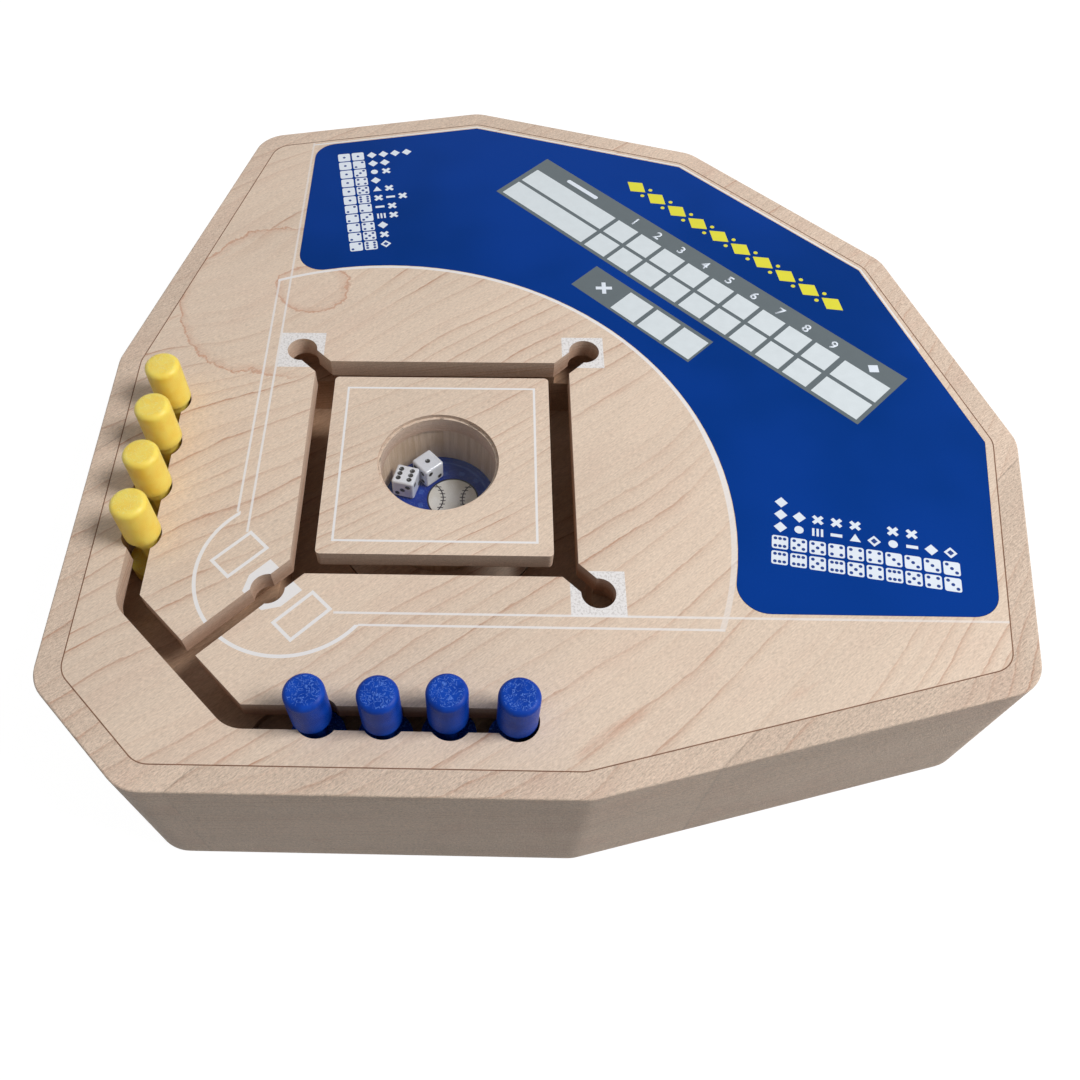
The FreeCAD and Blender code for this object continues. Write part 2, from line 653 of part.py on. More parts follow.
def press_disc():
    """The round disc that carries the cup: its flange runs under the lip of the bearing board."""
    upper = cylinder("disc_upper", "disc_diameter", f"{BEARING_TOP} - {DISC_BASE}", "0", "0", DISC_BASE)
    wide = "disc_diameter + 2 * disc_flange"
    flange = cylinder("disc_flange_plate", wide, "flange_thickness", "0", "0", DISC_BASE)
    cap = "spring_diameter + spring_wire + 2 * spring_clear"
    tools = [cylinder("disc_cap", cap, f"spring_cap_depth + {THROUGH}", "0", "0", f"{DISC_BASE} - {THROUGH}")]
    for i, (x, y) in enumerate(guide_places()):
        deep = f"pin_bury + {THROUGH}"
        tools.append(cylinder(f"disc_hole_{i}", "pin_diameter", deep, x, y, f"{DISC_BASE} - {THROUGH}"))
    blank = fused("disc_blank", [upper, flange])
    return node("press_disc", cut("disc_cut", blank, *tools))


def guide_pins():
    """Four dowel pins pressed into the press disc."""
    height = f"{DISC_BASE} + pin_bury - {PIN_BASE}"
    pins = []
    for i, (x, y) in enumerate(guide_places()):
        pins.append(cylinder(f"pin_{i}", "pin_diameter", height, x, y, PIN_BASE))
    return node("guide_pins", group("pin_group", pins))


def guide_bushings():
    """Four flanged bushings on the base panel, one round each pin."""
    bushings = []
    bore = "pin_diameter + 2 * guide_fit"
    outside = f"{bore} + 2 * bushing_wall"
    for i, (x, y) in enumerate(guide_places()):
        tube = cylinder(f"bushing_tube_{i}", outside, f"{BUSHING_TOP} - {BASE_TOP}", x, y, BASE_TOP)
        wide = f"{outside} + 2 * bushing_lip"
        foot = cylinder(f"bushing_foot_{i}", wide, "bushing_lip_thickness", x, y, BASE_TOP)
        body = fused(f"bushing_body_{i}", [tube, foot])
        deep = f"{BUSHING_TOP} - {BASE_TOP} + 2 * {THROUGH}"
        hole = cylinder(f"bushing_bore_{i}", bore, deep, x, y, f"{BASE_TOP} - {THROUGH}")
        bushings.append(cut(f"bushing_{i}", body, hole))
    return node("guide_bushings", group("bushing_group", bushings))


def return_spring():
    """The coil spring between the base panel and the press disc."""
    inset = "spring_wire / 2 + spring_slack"
    height = f"{SPRING_CAP} - {SPRING_SEAT} - 2 * ({inset})"
    helix = new("Part::Helix", "spring_line")
    bind(helix, Radius="spring_diameter / 2", Height=height, Pitch=f"({height}) / spring_turns")
    bind(helix, z=f"{SPRING_SEAT} + {inset}")
    section = new("Part::RegularPolygon", "spring_section")
    section.Polygon = WIRE_FLATS
    section.Placement.Rotation = Rotation(Vector(1, 0, 0), 90)
    bind(section, Circumradius="spring_wire / 2", x="spring_diameter / 2", z=f"{SPRING_SEAT} + {inset}")
    coil = new("Part::Sweep", "spring_coil")
    coil.Sections = [section]
    coil.Spine = (helix, ["Edge1"])
    coil.Solid = True
    coil.Frenet = True
    return node("return_spring", coil)


# ---------------------------------------------------------------------------------------------- dice

PIPS = {
    1: [(0, 0)],
    2: [(-1, 1), (1, -1)],
    3: [(-1, -1), (0, 0), (1, 1)],
    4: [(-1, -1), (-1, 1), (1, -1), (1, 1)],
    5: [(-1, -1), (-1, 1), (0, 0), (1, -1), (1, 1)],
    6: [(-1, -1), (0, -1), (1, -1), (-1, 1), (0, 1), (1, 1)],
}
# each face of a die that shows 1 on top and 2 to the front: its outward direction and the direction of its rows
FACES = {
    1: (Vector(0, 0, 1), Vector(1, 0, 0)),
    2: (Vector(0, -1, 0), Vector(1, 0, 0)),
    3: (Vector(1, 0, 0), Vector(0, 1, 0)),
    4: (Vector(-1, 0, 0), Vector(0, 1, 0)),
    5: (Vector(0, 1, 0), Vector(1, 0, 0)),
    6: (Vector(0, 0, -1), Vector(1, 0, 0)),
}

# how the dice lie: the first one's place as shares of its room in the cup, the second one's distance from it as
# shares of a die's side, and the angles that they are turned to
SIX_SHARES = (-0.848, 0.363)
SIX_ANGLE = -15
ONE_BESIDE = (0.937, 0.746)
ONE_ANGLE = 42


def die(label, x, y, tip, turn):
    """A die on the cup's floor, first tipped onto a face by tip and then turned about the vertical."""
    side = "die_side"
    half = "die_side / 2"
    cube = box(label + "_cube", side, side, side, "0", "0", f"-{half}")
    soft = eased(label + "_soft", cube, "die_round", lambda edge: True)
    balls = []
    out = "(die_side / 2 - pip_depth + pip_ball / 2)"
    for number, (face, across) in FACES.items():
        up = face.cross(across)
        for k, (a, b) in enumerate(PIPS[number]):
            ball = new("Part::Sphere", f"{label}_pip_{number}_{k}")
            bind(ball, Radius="pip_ball / 2")
            spot = {}
            for axis in ("x", "y", "z"):
                along = a * getattr(across, axis) + b * getattr(up, axis)
                spot[axis] = f"{getattr(face, axis):g} * {out} + {along:g} * pip_pitch"
            bind(ball, **spot)
            balls.append(ball)
    thing = cut(label + "_cut", soft, *balls)
    thing.Placement.Rotation = Rotation(Vector(0, 0, 1), turn).multiply(tip)
    bind(thing, x=f"{SHIFT} + {x}", y=f"{SHIFT} + {y}", z=f"{CUP_FLOOR} + die_lift + {half}")
    return node(label, thing, moved=False)


def dice():
    """Two dice as they lie after a throw: one shows six and the other one."""
    reach = "(cup_inner / 2 - die_side * sqrt(0.5))"
    x, y = (f"({share} * {reach})" for share in SIX_SHARES)
    six_up = Rotation(Vector(0, 0, 1), -90).multiply(Rotation(Vector(1, 0, 0), 180))
    die("die_six", x, y, six_up, SIX_ANGLE)
    beside_x, beside_y = ONE_BESIDE
    die("die_one", f"({x} + {beside_x} * die_side)", f"({y} + {beside_y} * die_side)", Rotation(), ONE_ANGLE)


# ---------------------------------------------------------------------------------------------- pegs

# where each peg stands, from the far end of its dugout towards home: the shares of its play that it has moved
# away from home along the dugout, and in towards the diamond
YELLOW_SHARES = [(0.5, 0.3), (0.95, 0.3), (0.6, 0.3), (0.4, 0.3)]
BLUE_SHARES = [(0.0, 0.3), (-0.35, 1.0), (-0.25, 0.3), (-0.8, 0.5)]


def peg_profile():
    """Half of a peg's section, from the middle of its foot up to the middle of its head."""
    foot_top = f"{PEG_BASE} + foot_thickness"
    collar_base = f"{SURFACE} - collar_depth"
    head_base = f"{SURFACE} + head_hover"
    top = f"{SURFACE} + head_rise"
    corners = [
        ("0", PEG_BASE),
        (f"{FOOT} / 2 - foot_bevel", PEG_BASE),
        (f"{FOOT} / 2", f"{PEG_BASE} + foot_bevel"),
        (f"{FOOT} / 2", foot_top),
        (f"{NECK} / 2", foot_top),
        (f"{NECK} / 2", collar_base),
        (f"{COLLAR} / 2", collar_base),
        (f"{COLLAR} / 2", head_base),
        (f"{HEAD} / 2", head_base),
        (f"{HEAD} / 2", top),
        ("0", top),
    ]
    return polygon("peg_profile", corners, upright=True)


def peg(label, profile, x, y):
    """A captive peg, turned in one piece: foot, neck, collar and head."""
    turned = revolved(label + "_turned", profile)
    top = size(f"{SURFACE} + head_rise")
    head = eased(label + "_head", turned, "head_round", lambda edge: level(edge, top))
    bind(head, x=f"{SHIFT} + {x}", y=f"{SHIFT} + {y}")
    return node(label, head, moved=False)


def pegs():
    """Four pegs in each dugout, numbered from the far end towards home."""
    profile = peg_profile()
    places = pocket_places()
    along_play = "(dugout_play - play_gap)"
    across_play = "(foot_play - play_gap)"
    for k, (along, across) in enumerate(YELLOW_SHARES):
        x, y = places[k]
        place = (f"{x} + {across} * {across_play}", f"{y} + {along} * {along_play}")
        peg(f"yellow_peg_{k + 1}", profile, *place)
    for k, (along, across) in enumerate(BLUE_SHARES):
        x, y = places[k + 4]
        place = (f"{x} + {along} * {along_play}", f"{y} + {across} * {across_play}")
        peg(f"blue_peg_{k + 1}", profile, *place)


# ---------------------------------------------------------------------------------------------- build and export

case_frame()
top_board()
score_panel()
track_board()
bearing_board()
base_panel()
base_screws()
rubber_feet()
guide_bushings()
return_spring()
press_block()
window_disc()
dice_cup()
cup_plug()
floor_card()
press_disc()
guide_pins()
dice()
pegs()

DOC.recompute()
broken = [thing.Name for thing in DOC.Objects if {"Invalid", "Error"} & set(thing.State)]
if broken:
    raise RuntimeError(f"not built: {broken}")
for thing in NODES:
    if thing.Shape.isNull() or not thing.Shape.isValid() or not thing.Shape.Solids:
        raise RuntimeError(f"bad shape: {thing.Label}")

os.makedirs("parts", exist_ok=True)
for thing in NODES:
    thing.Shape.exportStep(f"parts/{thing.Label}.step")
    bounds = thing.Shape.BoundBox
    print(
        f"{thing.Label:16s} {len(thing.Shape.Solids):3d} solids {thing.Shape.Volume / 1000:9.2f} cm3 "
        f"x {bounds.XMin:7.1f} {bounds.XMax:7.1f} y {bounds.YMin:7.1f} {bounds.YMax:7.1f} "
        f"z {bounds.ZMin:6.2f} {bounds.ZMax:6.2f}"
    )
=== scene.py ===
"""Looks of the pop up dice board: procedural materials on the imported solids, its charts as thin layers of ink,
the coil of its return spring, and the floor, light and camera of the photograph.

The layout is in steps of 48 mm from the middle of the diamond: x towards first base and y towards third base,
or s from home to centre field and t across, towards third base. Other lengths are in metres, unless a comment
says millimetres.
"""

import json
import math
from functools import reduce

import bmesh
import bpy
from mathutils import Matrix, Vector


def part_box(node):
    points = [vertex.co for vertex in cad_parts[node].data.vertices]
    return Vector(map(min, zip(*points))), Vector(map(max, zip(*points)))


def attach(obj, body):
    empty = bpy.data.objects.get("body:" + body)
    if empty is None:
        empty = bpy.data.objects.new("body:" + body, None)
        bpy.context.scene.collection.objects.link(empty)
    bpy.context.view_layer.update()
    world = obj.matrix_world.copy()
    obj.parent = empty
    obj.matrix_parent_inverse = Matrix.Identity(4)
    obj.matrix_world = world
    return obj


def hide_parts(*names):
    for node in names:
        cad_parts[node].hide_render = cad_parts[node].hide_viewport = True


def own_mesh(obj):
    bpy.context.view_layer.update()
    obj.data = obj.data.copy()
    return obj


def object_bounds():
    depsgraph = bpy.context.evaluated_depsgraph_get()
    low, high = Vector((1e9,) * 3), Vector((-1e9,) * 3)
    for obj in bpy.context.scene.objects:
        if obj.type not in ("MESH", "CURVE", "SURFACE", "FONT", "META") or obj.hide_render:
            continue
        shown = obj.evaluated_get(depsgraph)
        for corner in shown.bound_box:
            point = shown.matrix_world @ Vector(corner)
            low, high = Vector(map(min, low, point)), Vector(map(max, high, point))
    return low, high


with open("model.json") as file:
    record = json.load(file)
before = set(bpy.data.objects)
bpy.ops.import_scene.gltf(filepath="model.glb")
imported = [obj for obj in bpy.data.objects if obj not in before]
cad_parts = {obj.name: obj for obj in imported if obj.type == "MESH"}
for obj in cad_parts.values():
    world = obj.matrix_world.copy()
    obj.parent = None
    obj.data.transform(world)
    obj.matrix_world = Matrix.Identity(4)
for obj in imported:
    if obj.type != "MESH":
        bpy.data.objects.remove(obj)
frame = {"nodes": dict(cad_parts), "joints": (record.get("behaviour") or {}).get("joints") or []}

CAD_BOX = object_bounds()
NODES = frame["nodes"]

STEP = 0.048
MM = 0.001
MM_PER_STEP = STEP / MM
PRESS_LOW, PRESS_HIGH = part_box("press_block")
CENTRE = (PRESS_LOW + PRESS_HIGH) / 2
SURFACE = PRESS_HIGH.z


def place(x, y, rise=0.0):
    """A point of the layout, at a height above the playing surface in metres."""
    return Vector((CENTRE.x + x * STEP, CENTRE.y + y * STEP, SURFACE + rise))


def turned(s, t):
    """Layout x, y of a point given along and across the line from home to centre field."""
    return (s - t) / math.sqrt(2), (s + t) / math.sqrt(2)


# ------------------------------------------------------------------------------------------ node helpers


def feed(tree, socket, value):
    """Links a value to a socket, or sets a plain number or colour on it."""
    if isinstance(value, Value):
        tree.links.new(value.socket, socket)
    elif isinstance(value, bpy.types.NodeSocket):
        tree.links.new(value, socket)
    else:
        socket.default_value = value


class Value:
    """A number in a node tree. Arithmetic on it adds Math nodes."""

    def __init__(self, tree, socket):
        self.tree = tree
        self.socket = socket

    def calc(self, operation, *others):
        """The result of a Math node on this value and others."""
        node = self.tree.nodes.new("ShaderNodeMath")
        node.operation = operation
        for index, value in enumerate((self, *others)):
            feed(self.tree, node.inputs[index], value)
        return Value(self.tree, node.outputs[0])

    def __add__(self, other):
        return self.calc("ADD", other)

    def __sub__(self, other):
        return self.calc("SUBTRACT", other)

    def __mul__(self, other):
        return self.calc("MULTIPLY", other)

    def __truediv__(self, other):
        return self.calc("DIVIDE", other)

    def __neg__(self):
        return self.calc("MULTIPLY", -1.0)

    def __abs__(self):
        return self.calc("ABSOLUTE")

    __radd__ = __add__
    __rmul__ = __mul__

    def least(self, *others):
        """The smallest of this value and others."""
        return reduce(lambda found, other: found.calc("MINIMUM", other), others, self)

    def most(self, *others):
        """The largest of this value and others."""
        return reduce(lambda found, other: found.calc("MAXIMUM", other), others, self)

    def ramp(self, low, high, start=0.0, end=1.0):
        """Goes smoothly from start to end as this value goes from low to high."""
        node = self.tree.nodes.new("ShaderNodeMapRange")
        node.interpolation_type = "SMOOTHSTEP"
        values = {"Value": self, "From Min": low, "From Max": high, "To Min": start, "To Max": end}
        for name, value in values.items():
            feed(self.tree, node.inputs[name], value)
        return Value(self.tree, node.outputs["Result"])


class Paint:
    """A material under construction: one Principled shader and the textures that feed it."""

    def __init__(self, name, colour=(0.8, 0.8, 0.8), roughness=0.5, **settings):
        self.material = bpy.data.materials.new(name)
        self.material.use_nodes = True
        self.tree = self.material.node_tree
        self.tree.nodes.clear()
        self.shader = self.add("ShaderNodeBsdfPrincipled")
        self.output = self.add("ShaderNodeOutputMaterial")
        self.tree.links.new(self.shader.outputs[0], self.output.inputs["Surface"])
        self.set("Base Color", self.rgba(colour))
        self.set("Roughness", roughness)
        for key, value in settings.items():
            self.set(key.replace("_", " "), value)
        self.where = self.add("ShaderNodeTexCoord").outputs["Object"]
        split = self.add("ShaderNodeSeparateXYZ")
        self.tree.links.new(self.where, split.inputs[0])
        self.x, self.y, self.z = (Value(self.tree, split.outputs[i]) for i in range(3))

    def add(self, kind):
        """A new node."""
        return self.tree.nodes.new(kind)

    def set(self, name, value):
        """Sets or feeds an input of the Principled shader."""
        feed(self.tree, self.shader.inputs[name], value)

    @staticmethod
    def rgba(colour):
        return (*colour, 1.0)

    def layout(self):
        """Layout x, y of the shaded point, and its height above the playing surface in steps."""
        x = (self.x - CENTRE.x) * (1 / STEP)
        y = (self.y - CENTRE.y) * (1 / STEP)
        return x, y, (self.z - SURFACE) * (1 / STEP)

    def vector(self, x, y, z):
        """A point, for a texture to look up."""
        node = self.add("ShaderNodeCombineXYZ")
        for index, value in enumerate((x, y, z)):
            feed(self.tree, node.inputs[index], value)
        return node.outputs[0]

    def noise(self, where, scale, detail=2.0, rough=0.5, twist=0.0):
        """Smooth random values round 0.5."""
        node = self.add("ShaderNodeTexNoise")
        values = {"Vector": where, "Scale": scale, "Detail": detail, "Roughness": rough, "Distortion": twist}
        for name, value in values.items():
            feed(self.tree, node.inputs[name], value)
        return Value(self.tree, node.outputs[0])

    def chance(self, value):
        """A random number from 0 to 1 for each whole number."""
        node = self.add("ShaderNodeTexWhiteNoise")
        node.noise_dimensions = "1D"
        feed(self.tree, node.inputs["W"], value)
        return Value(self.tree, node.outputs["Value"])

    def mix(self, factor, first, second):
        """A colour between two colours, each a tuple or the output of another mix."""
        node = self.add("ShaderNodeMix")
        node.data_type = "RGBA"
        feed(self.tree, node.inputs[0], factor)
        for index, colour in ((6, first), (7, second)):
            if isinstance(colour, tuple):
                colour = self.rgba(colour)
            feed(self.tree, node.inputs[index], colour)
        return node.outputs[2]

    def shade(self, colour, value, saturation=1.0):
        """A colour made lighter or darker by a value round 1."""
        node = self.add("ShaderNodeHueSaturation")
        feed(self.tree, node.inputs["Color"], colour)
        feed(self.tree, node.inputs["Value"], value)
        feed(self.tree, node.inputs["Saturation"], saturation)
        return node.outputs[0]

    def bump(self, height, strength, distance):
        """Makes the surface look uneven. distance is the depth of a height of 1."""
        node = self.add("ShaderNodeBump")
        for name, value in {"Strength": strength, "Distance": distance, "Height": height}.items():
            feed(self.tree, node.inputs[name], value)
        self.set("Normal", node.outputs[0])

    def facing_up(self):
        """1 where the surface is level and faces up."""
        split = self.add("ShaderNodeSeparateXYZ")
        self.tree.links.new(self.add("ShaderNodeNewGeometry").outputs["Normal"], split.inputs[0])
        return Value(self.tree, split.outputs[2]).ramp(0.93, 0.97)


# ------------------------------------------------------------------------------------------ masks


def length(x, y):
    """How far a point is from 0, 0."""
    return (x * x + y * y).calc("SQRT")


def slab_distance(value, middle, half):
    """How far a coordinate is outside a band."""
    return abs(value - middle) - half


def shown(distance):
    """Turns a distance outside a shape into a mask with an edge 0.1 mm soft."""
    return distance.ramp(-0.0012, 0.0012, 1.0, 0.0)


# ------------------------------------------------------------------------------------------ wood

PALE = (0.745, 0.604, 0.488)
TAN = (0.625, 0.455, 0.345)
LINE = (0.480, 0.265, 0.180)
FLAME = (0.600, 0.375, 0.275)
KNOT = (0.560, 0.315, 0.215)
BLUSH = (0.660, 0.470, 0.375)
GRIT = (0.600, 0.400, 0.310)
# the brown of the shade painted onto the sides of the boards
SHADE_BROWN = (0.330, 0.150, 0.078)
GRAIN = math.radians(39)

# how many times as close the rings are downwards as across the top, and how staves and seeds shift the patterns
RING_DIP = 5.5
STAVE_RINGS = 5.37
STAVE_SHIFT = 3.7
SEED_SHIFT = 1.31

# the playing board's knot, the rings that swirl round it, and its one long flame, along and across the grain
KNOT_X, KNOT_Y = -1.11, 1.83
SWIRL_X, SWIRL_Y = -1.32, 1.72
FLAME_ALONG, FLAME_ACROSS = -0.449, -2.397


def maple(name, seed, pitch=7.5, slope=0.68, lines=1.0, pale=PALE, tan=TAN, line=LINE, loops=False, seams=(),
          fibre=1.0, mottle=0.0, rough=0.50, dim=0.0, relief=0.00018):
    """Sanded maple: a material that still needs its base colour, and that colour.

    Its growth rings are layers that dip gently through the board, so that they show as long lines on the top
    and as close streaks on the sides. pitch is their spacing on the top in millimetres, slope is how they cross
    it and lines is how strongly they show. loops adds the knot and the long flame of the playing board. seams
    are the places, as x - y, where staves meet. fibre and mottle are the strength of streaks and of blotches,
    rough is the roughness, dim is how strongly shade is painted onto the sides, and relief is the depth of the
    grain.
    """
    paint = Paint(name, roughness=rough)
    paint.set("Specular IOR Level", 0.16)
    up = paint.facing_up()
    x, y, z = paint.layout()
    along = x * math.cos(GRAIN) + y * math.sin(GRAIN)
    across = y * math.cos(GRAIN) - x * math.sin(GRAIN)
    stave = None
    seam = None
    for at in seams:
        gap = (x - y) - at
        side = gap.calc("GREATER_THAN", 0.0)
        near = abs(gap).ramp(0.002, 0.012, 1.0, 0.0)
        stave = side if stave is None else stave + side
        seam = near if seam is None else seam.most(near)
    shift = stave * STAVE_SHIFT + seed * SEED_SHIFT if stave else seed * SEED_SHIFT
    where = paint.vector(x + shift, y, z)

    def drawn_out(amount, depth=1.0):
        """Where noise is looked up if it is drawn out along the grain."""
        return paint.vector(along * amount + shift, across, z * depth)

    stretched = drawn_out(0.35, 2.2)
    fine = drawn_out(0.27)
    thread = drawn_out(0.09)

    # how many rings lie before this point
    bend = x * slope + x * x * 0.03 + x * x * x * 0.015
    rings = ((y - bend) * MM_PER_STEP + z * (MM_PER_STEP * RING_DIP)) * (1 / pitch)
    if stave:
        rings = rings + stave * STAVE_RINGS
    rings = rings + (paint.noise(where, 0.50, 1.0) - 0.5) * 3.4
    rings = rings + (paint.noise(stretched, 3.0, 2.0) - 0.5) * 0.62
    rings = rings + (paint.noise(stretched, 22.0, 3.0, 0.65) - 0.5) * 0.24
    if loops:
        away = length(x - KNOT_X, y - KNOT_Y)
        wide = length(x - SWIRL_X, y - SWIRL_Y)
        wobble = (paint.noise(where, 3.4, 2.0) - 0.5) * 0.20
        wobble = wobble + (paint.noise(where, 19.0, 3.0, 0.65) - 0.5) * 0.085
        rings = rings + (wide * wide * -1.1).calc("EXPONENT") * 3.0

    # each ring darkens slowly, ends in a thin line and has a strength of its own
    turn = rings.calc("FRACT")
    luck = paint.chance(rings.calc("FLOOR") + seed)
    grow = turn.ramp(0.30, 0.93) * turn.ramp(0.94, 1.0, 1.0, 0.0)
    edge = turn.ramp(0.80, 0.950) * turn.ramp(0.955, 1.0, 1.0, 0.0)
    come = paint.noise(stretched, 1.9, 3.0, 0.6).ramp(0.38, 0.60)
    hair = paint.noise(thread, 46.0, 3.0, 0.62)
    broken = hair.ramp(0.34, 0.60, 0.45, 1.0)
    strength = luck.ramp(0.20, 0.95, 0.04, 0.92) * (come * 0.78 + 0.22) * broken * lines
    if loops:
        strength = strength * wide.ramp(0.75, 1.05, 0.10, 1.0)
        strength = strength * x.ramp(-2.4, -0.6, 1.45, 1.0) * x.ramp(0.8, 2.6, 1.0, 0.62)
        strength = strength.least(1.0)
    colour = paint.mix(grow * luck.ramp(0.0, 1.0, 0.06, 0.52) * (come * 0.6 + 0.4) * lines, pale, tan)
    colour = paint.mix(edge * strength, colour, line)
    if loops:
        knot = None
        outer_fade = x.ramp(-1.45, -0.95, 1.0, 0.0)
        for gap, fade in ((away + wobble * 0.80 - 0.30, 1.0), (wide + wobble - 0.88, outer_fade)):
            bare = gap.ramp(-0.085, 0.0, 0.0, 0.34) * gap.ramp(0.0, 0.012, 1.0, 0.0)
            mark = abs(gap).ramp(0.003, 0.015, 0.90, 0.0).most(bare) * hair.ramp(0.30, 0.62, 0.60, 1.0) * fade
            knot = mark if knot is None else knot.most(mark)
        colour = paint.mix(knot, colour, KNOT)

    # pink-brown flames, fine flecks along the fibre and slow changes of tone
    lick = paint.noise(paint.vector(along * 0.42 + shift * 2.0, across * 2.3, z), 1.25, 4.0, 0.62)
    blush = paint.noise(paint.vector(along * 0.5 - shift, across * 1.3, z), 2.2, 3.0, 0.6)
    colour = paint.mix(lick.ramp(0.655, 0.76, 0.0, 0.55), colour, FLAME)
    if loops:
        aside = abs(across - FLAME_ACROSS + (lick - 0.5) * 0.30)
        flame = abs((along - FLAME_ALONG) * 2.9).ramp(0.55, 1.0, 1.0, 0.0)
        flame = flame * aside.ramp(0.008, 0.050, 1.0, 0.0) * hair.ramp(0.34, 0.60, 0.5, 1.0)
        colour = paint.mix(flame * 0.55, colour, FLAME)
    colour = paint.mix(blush.ramp(0.46, 0.72, 0.0, 0.20 + mottle * 0.25), colour, BLUSH)
    fleck = paint.noise(fine, 108.0, 3.0, 0.75)
    dash = paint.noise(drawn_out(0.20), 30.0, 2.0).ramp(0.66, 0.76)
    slow = paint.noise(stretched, 0.9, 3.0, 0.55)
    value = (fleck - 0.5) * (0.90 * fibre) + (hair - 0.5) * (0.22 * fibre)
    value = value + (slow - 0.5) * 0.26 - dash * 0.08 + 1.0
    if mottle:
        grit = paint.noise(paint.vector(along * 0.6, across, z), 66.0, 4.0, 0.80)
        value = value + (grit - 0.5) * mottle
        colour = paint.mix(grit.ramp(0.50, 0.72, 0.0, 0.40) * up, colour, GRIT)

    # staves of different tones, with dark joints between them
    if stave:
        value = value + stave.ramp(0.5, 1.5, 0.0, 0.07) - stave.ramp(1.0, 3.0, 0.0, 0.13)
        value = value - seam * up.ramp(0.0, 1.0, 0.10, 0.26)

    # painted shade: the sides darker than the top and darkest below, and on the playing board darkest towards
    # first base
    if dim:
        if loops:
            painted_shade = z.ramp(-0.12, -0.01, dim, dim * 0.50) * (x - y).ramp(-1.6, 1.6, 0.55, 1.30)
            painted_shade = painted_shade.least(1.0)
        else:
            painted_shade = z.ramp(-0.20, -0.02, dim, dim * 0.35)
        colour = paint.mix(painted_shade * (up * -1.0 + 1.0), colour, SHADE_BROWN)
    colour = paint.shade(colour, value)
    paint.set("Roughness", (fleck - 0.5) * 0.25 + rough)
    height = fleck + hair * 0.3 - edge * strength * 0.2
    if mottle:
        height = height + grit * 1.2
    paint.bump(height, 0.60, relief)
    return paint, colour


INK_WHITE = (0.865, 0.865, 0.885)
INK_SPECK = (0.42, 0.41, 0.41)


def inked(paint, colour, mask, specks=None):
    """White ink over wood: a little of the grain still shows through it. specks masks ink with grey specks."""
    if specks is not None:
        dots = paint.noise(paint.vector(*paint.layout()), 58.0, 2.0, 0.6).ramp(0.48, 0.60)
        colour = paint.mix(specks * 0.86, colour, paint.mix(dots * 0.42, INK_WHITE, INK_SPECK))
    return paint.mix(mask * 0.88, colour, INK_WHITE)


# the print of the diamond, in steps, but for the fence's number of sides and the degrees between them
HALF_LINE, HALF_CURVE, HALF_FENCE, HALF_BOX = 0.0088, 0.0135, 0.0075, 0.0125
PRINT_END = (-0.004, -0.002)
SQUARE = 0.72
HOME, HOME_RADIUS = -1.0, 0.645
ARC_MIDDLE, ARC_RADIUS = -0.477, 2.583
FENCE, FENCE_SIDES, FENCE_TURN = 3.966, 3, 27.8


def top_board_material():
    """The playing board with its diamond, which is nearly the same on both sides of the line from home."""
    paint, colour = maple("board_maple", 3, pitch=7.8, loops=True, dim=0.70)
    x, y, z = paint.layout()
    p = x.most(y)
    q = x.least(y)
    s = (x + y) * math.sqrt(0.5)
    t = (p - q) * math.sqrt(0.5)
    left = (y - x).calc("GREATER_THAN", 0.0)

    # two straight lines on each side, a little askew on the left
    aside = q + left * (p * -0.006 + 0.018)
    inner = slab_distance(aside, -1.307, HALF_LINE).most(slab_distance(p, 1.62, 2.28))
    outer = slab_distance(aside, -1.400, HALF_LINE).most(slab_distance(p, 0.730, 1.216))

    # the circle round home, the arc, whose line is wider by first base, and the three sides of the fence
    home = slab_distance(length(x - HOME, y - HOME), HOME_RADIUS, HALF_CURVE).most(q + 1.399)
    spread = y.ramp(0.05, 0.55, 0.0060, 0.0) * (left * -1.0 + 1.0)
    arc = abs(length(x - ARC_MIDDLE, y - ARC_MIDDLE) - ARC_RADIUS + spread) - spread - HALF_CURVE
    arc = arc.most(-aside - 1.412)
    fence = None
    for k in range(FENCE_SIDES):
        angle = math.radians(45 - FENCE_TURN * k)
        reach = p * math.cos(angle) + q * math.sin(angle)
        fence = reach if fence is None else fence.most(reach)
    fence = slab_distance(fence, FENCE, HALF_FENCE).most(-q - 1.300, x - y - 2.6)

    # the boxes beside home, and the plate between them
    boxes = slab_distance(s, -1.560, 0.170).most(abs(t - (left * 0.030 + 0.330)) - 0.0920)
    boxes = abs(boxes) - HALF_BOX
    plate = slab_distance(s, -1.580, 0.150).most(t - 0.175, t - (s + 1.73) * 0.62 - 0.105)

    faint = shown(inner.least(outer)) * s.ramp(-0.8, 1.6, 0.86, 0.50)
    faint = faint.most(shown(arc) * (left * 4.0 + y).ramp(-1.3, 0.3, 0.40, 0.92))
    lines = faint.most(shown(home.least(boxes, fence, plate)))

    # second base, and the bases at the two corners
    second = slab_distance(x, 1.115, 0.165).most(slab_distance(y, 1.115, 0.165))
    corner = slab_distance(p, 1.123, 0.188).most(slab_distance(q, -1.130, 0.180))
    top = paint.facing_up() * z.ramp(*PRINT_END)
    bases = shown(second.least(corner)) * top
    paint.set("Base Color", inked(paint, colour, lines * top, bases))
    return paint.material


def press_block_material():
    """The block in the middle of the diamond, with a square line round it."""
    paint, colour = maple("block_maple", 11, pitch=4.8, slope=0.60, lines=0.95, dim=0.50)
    x, y, z = paint.layout()
    square = slab_distance(abs(x).most(abs(y)), SQUARE, HALF_LINE)
    paint.set("Base Color", inked(paint, colour, shown(square) * paint.facing_up() * z.ramp(*PRINT_END)))
    return paint.material


def plain_maple(name, seed, **settings):
    """Maple with no print on it."""
    paint, colour = maple(name, seed, **settings)
    paint.set("Base Color", colour)
    return paint.material


